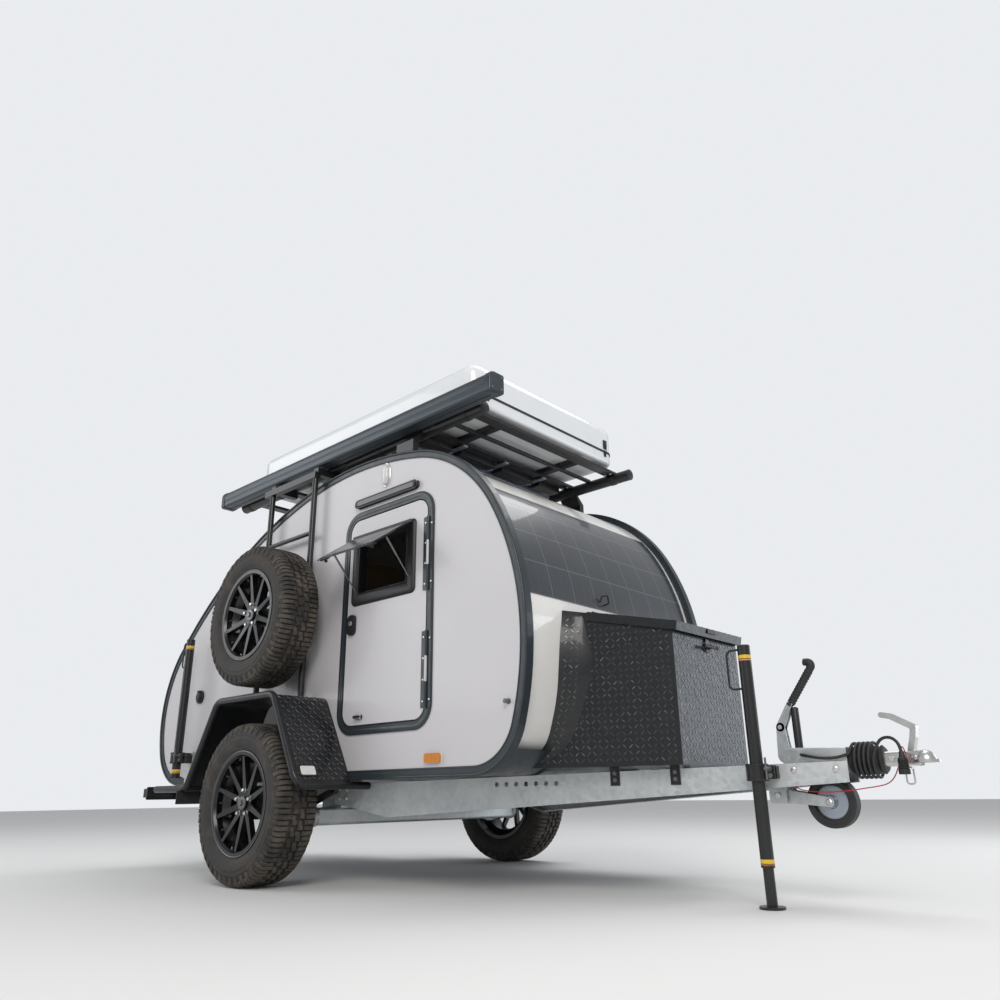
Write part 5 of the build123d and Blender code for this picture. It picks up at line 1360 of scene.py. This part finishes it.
def build_awning():
    """Rolled awning's case with its lead rail, the end caps and the brackets on the rail."""
    form = Form()
    form.prism(soft_polygon(AWNING_CASE, 4), "x", *AWNING_ENDS)
    form.rings([[(x, -748.2 + step, z) for step, z in ((2.4, 2160), (0, 2161.5), (0, 2185), (2.4, 2186.5))]
                for x in (AWNING_ENDS[0] + 4, AWNING_ENDS[1] - 4)])
    for end, way in zip(AWNING_ENDS, (-1, 1)):
        form.layers(awning_cap(AWNING_CAP), "x", [(0, end), (0, end + way * 29), (2.5, end + way * 32)])
        form.layers(awning_cap(AWNING_CAP_FACE), "x", [(0, end + way * 30), (1, end + way * 34)])
    form.finish = 1
    for x in (-560, 180, 900):
        form.block(x - 35, x + 35, -657, -650, 2118, 2170)
        form.prism([(-657, 2118), (-640, 2120), (-634, 2124), (-640, 2128), (-657, 2128)], "x", x - 35, x + 35)
        form.prism([(-657, 2162), (-632, 2164), (-628, 2170), (-657, 2170)], "x", x - 35, x + 35)
    form.piece("awning_unit", "trailer", "anthracite", "powder", replaced=("awning_case",), soften=0.5, crease=30)
    spots = [((end + way * 33.5, y, z), (way, 0, 0)) for end, way in zip(AWNING_ENDS, (-1, 1))
             for y, z in ((-668, 2204), (-668, 2142), (-730, 2136))]
    fixings("awning_cap_screws", "trailer", "dull_metal", SCREW, spots)


def build_tent_trim():
    """Seal between the tent's shells, latches and catches, the small ridges at the front, and the mattress."""
    form = Form()
    form.moulding(rounded(-745, 1150, -598, 598, 75, 10), "z", [(4, 2257), (-4, 2259), (-4.4, 2270), (4, 2273)])
    form.piece("tent_seal", "trailer", "rubber")
    latches, catches = Form(), Form()
    for y in (-500, 500):
        latches.plate(rounded(y - 13, y + 13, 2282, 2338, 5), "x", 1149, 1154, 1)
        latches.plate(rounded(y - 10, y + 10, 2292, 2334, 4), "x", 1153.6, 1162, 2)
        latches.tube([(1158, y - 7, 2296), (1159, y - 7, 2262), (1159, y + 7, 2262), (1158, y + 7, 2296)], 1.8, 8)
        catches.plate(rounded(y - 11, y + 11, 2234, 2257, 4), "x", 1149, 1154, 1)
        catches.plate(rounded(y - 8, y + 8, 2250, 2256, 2), "x", 1153, 1161, 1)
    for y in (-420, -140, 140, 420):
        latches.plate(rounded(y - 9, y + 9, 2378, 2384, 2), "x", 1140, 1147, 1)
    latches.piece("tent_latches", "tent_lid", "black")
    catches.piece("tent_catches", "trailer", "black")
    form = Form()
    form.layers(rounded(-725, 1130, -578, 578, 60, 8), "z", [(0, 2212), (0, 2246), (3, 2254), (10, 2258)])
    form.piece("tent_mattress", "trailer", "canvas", crease=40)


def build_rack_fittings():
    """End plugs of the rails, saddles round them at each slat, and the brackets and pads under the tent."""
    form = Form()
    for side in form.both_sides():
        for x, way in ((1235, 1), (-870, -1)):
            plug = [(28, -11), (28, 0), (33, 0.5), (33, 4), (29, 7), (10, 8.5)]
            form.lathe((x, RAIL_Y, RAIL_Z), "x", outward(way, plug), 36)
        for x in SLATS:
            ring = [(30.5, -16), (34.6, -15.4), (34.6, 15.4), (30.5, 16), (30.5, -16)]
            if side > 0 or abs(x - 180) > 80:
                form.lathe((x, RAIL_Y, RAIL_Z), "x", ring, 36, False)
    form.finish = 1
    for y in (-330, 0, 330):
        form.plate(rounded(620, 830, y - 17, y + 17, 5), "z", 2136, 2145, 1)
        form.block(628, 634, y - 15, y + 15, 2110, 2146)
    form.plate(rounded(640, 672, -570, 570, 3), "z", 2112, 2136, 1)
    form.finish = 2
    for y in (-455, -165, 165, 455):
        half = 98 if abs(y) > 200 else 138
        form.plate(rounded(692, 766, y - half, y + half, 8), "z", 2120, 2162, 3)
    for x in (960, 640, 320):
        form.plate(rounded(x - 10, x + 10, -600, 600, 4), "z", 2146, 2164, 1)
    form.piece("rack_fittings", "trailer", "black", "satin", "powder", soften=0.6)
    spots = [((x + dx, side * 560, 2147), (0, 0, -1)) for side in (-1, 1) for x in SLATS for dx in (-18, 18)]
    fixings("slat_bolts", "trailer", "zinc", NUT, spots)


build_awning()
build_tent_trim()
build_rack_fittings()


# Stands, box fittings and bolts

FRONT_STAND = (2215, -200)
REAR_STAND_X, REAR_STAND_Y = -1055, 790
BAY_REAR = -1180


def rail_face(x):
    """Distance of the drawbar rail's outer face from the middle at a place along it."""
    return 655 - 605 / 2210 * (x - 280)


def build_stand_bands(name, body, x, y, heights):
    """Coloured bands, the cap in the tube's top and the collar at its foot."""
    form = Form()
    top, low, foot = heights
    for z in (top - 46, low):
        form.finish = 0
        form.lathe((x, y, z), "z", [(23.6, 0), (24.2, 0.4), (24.2, 13.6), (23.6, 14)], 40)
        form.finish = 1
        form.lathe((x, y, z - 8), "z", [(23.6, 0), (24.2, 0.4), (24.2, 5.6), (23.6, 6)], 40)
    form.finish = 2
    form.lathe((x, y, top), "z", [(20, -8), (20, -0.5), (24.2, 0), (24.2, 4), (21, 7), (8, 8.5)], 40)
    form.lathe((x, y, foot), "z", [(24.2, 0), (24.2, 10), (23.9, 10.4)], 40)
    form.piece(name, body, "yellow", "orange", "black")


def build_clamp_fittings():
    """Ears, bands, bolts and tommy screws of the stands' clamps."""
    form = Form()
    clamps = [(*FRONT_STAND, 452, -1), (REAR_STAND_X, -REAR_STAND_Y, 605, -1), (REAR_STAND_X, REAR_STAND_Y, 605, 1)]
    for x, y, z, side in clamps:
        form.finish = 0
        for low in (5, -13):
            form.plate(rounded(x + 32, x + 72, z - 24, z + 24, 7), "y", y + low, y + low + 8)
        for lift in (0, 49):
            ring = [(37, lift - 30.6), (40.6, lift - 29.6), (40.6, lift - 20), (37, lift - 19), (37, lift - 30.6)]
            form.lathe((x, y, z), "z", ring, 40, False)
        form.finish = 1
        for height in (z - 12, z + 12):
            form.lathe((x + 58, y, height), "y", [(9, -22), (9, -14), (5, -13.4), (5, 13.4), (9, 14), (9, 21)], 6)
        screw = [(5, 20), (5, 42), (8, 43), (8, 54), (6, 56)]
        form.lathe((x + 58, y, z + 12), "y", outward(side, screw), 16)
        form.tube([(x + 58, y + side * 49, z - 26), (x + 58, y + side * 49, z + 50)], 4, 12)
    form.piece("stand_clamp_fittings", "trailer", "powder", "dull_metal", soften=0.6)


def on_lid(rear, front, low, high):
    """Corners of a strip that lies along the box's sloping top."""
    return [(rear, box_rim(rear) + low), (front, box_rim(front) + low), (front, box_rim(front) + high),
            (rear, box_rim(rear) + high)]


def build_box_fittings():
    """T latch, hinge leaves, and the wire hook behind the box."""
    form = Form()
    form.plate(rounded(-27, 27, 944, 990, 8), "x", 1949.6, 1953.6, 1)
    form.lathe((1950, 0, 966), "x", [(15, 2), (15, 6), (10, 9), (9, 26)], 28)
    form.tube([(1972, -52, 966), (1972, 52, 966)], 6.4, 16)
    for y in (-52, 52):
        form.lathe((1972, y, 966), "y", [(6, -3), (8, -2), (8, 2), (6, 3)], 16)
    form.prism(on_lid(1572, 1603.4, -0.5, 2), "y", -338, 338)
    nose = front_x(1205)
    form.tube(bent([(nose + 2, -92, 1204), (nose + 30, -93, 1210), (nose + 34, -106, 1246), (nose + 12, -120, 1242),
                    (nose + 3, -122, 1216)], 9), 3.5, 10)
    form.piece("box_fittings", "trailer", "black")
    form = Form()
    form.prism(on_lid(1618, 1646, 3.2, 5.2), "y", -330, 330)
    form.prism([(1976, 1018), (1983, 1019), (1983, 1036), (1976, 1037)], "y", -34, 34)
    form.piece("lid_fittings", "box_lid", "black")
    spots = [((1588, y, box_rim(1588) + 2), (BOX_SLOPE, 0, 1)) for y in range(-320, 321, 64)]
    fixings("strip_rivets", "trailer", "powder", SCREW, spots)
    spots = [((1634, y, box_rim(1634) + 5.4), (BOX_SLOPE, 0, 1)) for y in range(-312, 313, 52)]
    fixings("lid_rivets", "box_lid", "powder", SCREW, spots)


def build_frame_bolts():
    """Bolts of the box, the rails, the housing, the axle, the posts' feet and the coupling."""
    spots, tabs = [], []
    for side in (-1, 1):
        out = (0.264, side * 0.9645, 0)
        for x in (1640, 1880):
            tabs += [((x + 1, side * (rail_face(x) + 4.1), z), out) for z in (436, 462)]
        for x in (302, 344):
            spots += [((x, side * rail_face(x), z), out) for z in (378, 418)]
        for x in (2310, 2450):
            spots.append(((x, side * rail_face(x), 460), out))
        for x in (106, 238):
            spots.append(((x, side * 582, 352), (0, side, 0)))
        for x in (-350, 70):
            spots += [((x + dx, side * (745 + dy), 851.6), (0, 0, 1)) for dx in (-21, 21) for dy in (-19, 19)]
        for x in (2640, 2716):
            spots.append(((x, side * 27, 490), (0, side, 0)))
        for x in (-1085, -1025):
            spots.append(((x, side * 716, 628), (0, side, 0)))
    fixings("frame_bolts", "trailer", "zinc", BOLT, spots)
    fixings("tab_bolts", "trailer", "dull_metal", NUT, tabs)


def link_outline(first, last):
    """Outline round two circles, each given by its place and radius."""
    (x0, z0, r0), (x1, z1, r1) = first, last
    steps = 10
    heading = math.atan2(z1 - z0, x1 - x0)
    lean = math.acos((r0 - r1) / math.hypot(x1 - x0, z1 - z0))
    points = []
    for (x, z, radius), start, end in ((first, heading + lean, heading + 2 * math.pi - lean),
                                       (last, heading - lean, heading + lean)):
        for step in range(steps + 1):
            angle = start + (end - start) * step / steps
            points.append((x + radius * math.cos(angle), z + radius * math.sin(angle)))
    return points


def build_handbrake():
    """Handbrake lever of two pressed cheeks with a ribbed rubber grip, and the gas strut under it."""
    form = Form()
    elbow, wrist = (2240, 620, 17), (2288, 706, 11)
    for low, high in ((-13, -8.5), (8.5, 13)):
        form.prism(link_outline((2243, 514, 26), elbow), "y", low, high)
        form.prism(link_outline(elbow, wrist), "y", low, high)
    form.block(2236, 2246, -9, 9, 540, 624)
    for x, z in ((2243, 518), (2240, 620)):
        form.lathe((x, 0, z), "y", [(9, -19), (9, -13), (9, 13), (9, 19)], 6)
    form.finish = 1
    ribs = []
    start, end = Vector((2283, 0, 698)), Vector((2378, 0, 825))
    for step in range(13):
        for share, radius in ((0.05, 14.2), (0.3, 15.8), (0.7, 15.8), (0.95, 14.2)):
            ribs.append((start.lerp(end, (step + share) / 13), radius))
    head = bent([(2378, 0, 825), (2397, 0, 853), (2361, 0, 859)], 13, 6)
    path = [point for point, _ in ribs] + head[1:]
    form.tube(path, 15, 20, [radius for _, radius in ribs] + [15.4] * (len(head) - 2) + [13.5])
    form.finish = 2
    form.lathe((2300, 0, 520), "z", [(6, -8), (15, -6), (15, 166), (13, 170), (8, 172)], 28)
    form.finish = 3
    form.tube([(2300, 0, 688), (2292, 0, 708)], 5.5, 14)
    form.piece("handbrake_unit", "trailer", "zinc_hot", "rubber", "black", "zinc", replaced=("handbrake_lever",),
               soften=0.5, crease=40)


def build_jockey_fittings():
    """Pressed discs of the jockey wheel, and the nuts of its axle and of the leg's pivot."""
    axle, pivot = (2402, 0, 347), (2215, 0, 372)
    disc = [(59, 13), (59, 15), (54, 16.4), (40, 15.2), (24, 17), (20.6, 25), (20.6, 28), (9, 28.6)]
    fittings = [
        ("jockey_discs", "jockey_wheel", "satin", [(axle, disc, 40)]),
        ("jockey_nuts", "jockey_leg", "zinc",
         [(axle, [(12, 39), (12, 45), (9, 47)], 6), (pivot, [(13, 40), (13, 41.6), (9, 42)], 20)]),
        ("jockey_pivot_nuts", "trailer", "zinc", [(pivot, [(12, 50), (12, 57), (9, 59)], 6)]),
    ]
    for name, body, finish, turned in fittings:
        form = Form()
        for _ in form.both_sides():
            for centre, profile, sides in turned:
                form.lathe(centre, "y", profile, sides)
        form.piece(name, body, finish)


def build_galley_fronts():
    """Drawer and cupboard fronts under the worktop, each with a bar pull."""
    form = Form()
    drawers, cupboard = [(548, 676), (684, 812), (820, 950)], [(548, 950)]
    for low_y, high_y, rows in ((-640, -242, cupboard), (-222, 222, drawers), (242, 640, cupboard)):
        for low, high in rows:
            form.finish = 0
            form.plate(rounded(low_y + 3, high_y - 3, low, high, 10), "x", BAY_REAR - 1, BAY_REAR - 16, -2)
            middle, z = (low_y + high_y) / 2, high - 24
            form.finish = 1
            form.tube([(BAY_REAR - 15, middle - 60, z), (BAY_REAR - 30, middle - 56, z),
                       (BAY_REAR - 30, middle + 56, z), (BAY_REAR - 15, middle + 60, z)], 5, 12)
    form.piece("galley_fronts", "trailer", "ply", "satin", soften=0.8)


def build_hatch_fittings():
    """Lock of the hatch beside its handle."""
    form = Form()
    x = min((point for point in side_line(SKIN_SETBACK) if point[0] < 0), key=lambda point: abs(point[1] - 740))[0]
    form.plate(rounded(98, 142, 718, 762, 10), "x", x + 12, x - 4, -2)
    form.lathe((x, 120, 740), "x", [(13, -2), (13, -8), (9, -10)], 24)
    form.piece("hatch_lock", "hatch", "black")


build_stand_bands("front_stand_bands", "front_stand", *FRONT_STAND, (912, 146, 132))
for hand, side in HANDS:
    build_stand_bands("rear_stand_bands_" + hand, "rear_stand_" + hand, REAR_STAND_X, side * REAR_STAND_Y,
                      (1282, 528, 502))
build_galley_fronts()
build_hatch_fittings()
build_clamp_fittings()
build_box_fittings()
build_frame_bolts()
build_handbrake()
build_jockey_fittings()


# Stage, light and camera

FLOOR_DROP = 0.0005
CAMERA_PLACE = (3.005, -3.163, 0.392)
CAMERA_AHEAD, CAMERA_RIGHT = (-0.633, 0.696, 0.339), (0.737, 0.676, -0.012)
CAMERA_LENS = 29.28
LAMPS = [
    ("key", (6.0, -6.5, 6.0), 420.0, 4.0, (1.0, 0.97, 0.93)),
    ("fill", (-6.5, -6.0, 4.0), 160.0, 5.0, (0.94, 0.97, 1.0)),
    ("top", (0.5, 2.5, 7.5), 220.0, 5.0, (1.0, 1.0, 1.0)),
    ("front", (3.6, 4.2, 1.5), 42.0, 2.4, (0.86, 0.92, 1.0)),
]
LAMP_AIM = Vector((0, 0, 1.0))


def build_stage():
    bpy.ops.mesh.primitive_plane_add(size=60.0, location=(0, 0, -FLOOR_DROP))
    floor = bpy.context.active_object
    floor.name = "studio_floor"
    paper = Finish("pale_floor", (0.80, 0.80, 0.79), 0.7)
    floor.data.materials.append(paper.material)


def build_lights():
    world = bpy.data.worlds.new("studio")
    world.use_nodes = True
    bpy.context.scene.world = world
    sky = world.node_tree.nodes["Background"]
    sky.inputs["Color"].default_value = (0.93, 0.95, 0.98, 1.0)
    seen = world.node_tree.nodes.new("ShaderNodeLightPath")
    strength = world.node_tree.nodes.new("ShaderNodeMapRange")
    strength.inputs["To Min"].default_value = 0.5
    strength.inputs["To Max"].default_value = 0.88
    world.node_tree.links.new(seen.outputs["Is Camera Ray"], strength.inputs["Value"])
    world.node_tree.links.new(strength.outputs["Result"], sky.inputs["Strength"])
    for name, place, power, size, colour in LAMPS:
        lamp = bpy.data.lights.new(name, "AREA")
        lamp.energy = power
        lamp.size = size
        lamp.color = colour
        holder = bpy.data.objects.new(name, lamp)
        holder.location = place
        holder.rotation_euler = (LAMP_AIM - Vector(place)).to_track_quat("-Z", "Y").to_euler()
        bpy.context.scene.collection.objects.link(holder)


def build_camera():
    camera = bpy.data.cameras.new("camera")
    camera.sensor_width = 36.0
    camera.lens = CAMERA_LENS
    holder = bpy.data.objects.new("camera", camera)
    ahead, right = Vector(CAMERA_AHEAD).normalized(), Vector(CAMERA_RIGHT)
    right = (right - ahead * right.dot(ahead)).normalized()
    turn = Matrix((right, right.cross(ahead), -ahead)).transposed()
    holder.matrix_world = Matrix.Translation(CAMERA_PLACE) @ turn.to_4x4()
    bpy.context.scene.collection.objects.link(holder)
    bpy.context.scene.camera = holder


build_stage()
build_lights()
build_camera()
bpy.context.scene.view_settings.view_transform = "Standard"
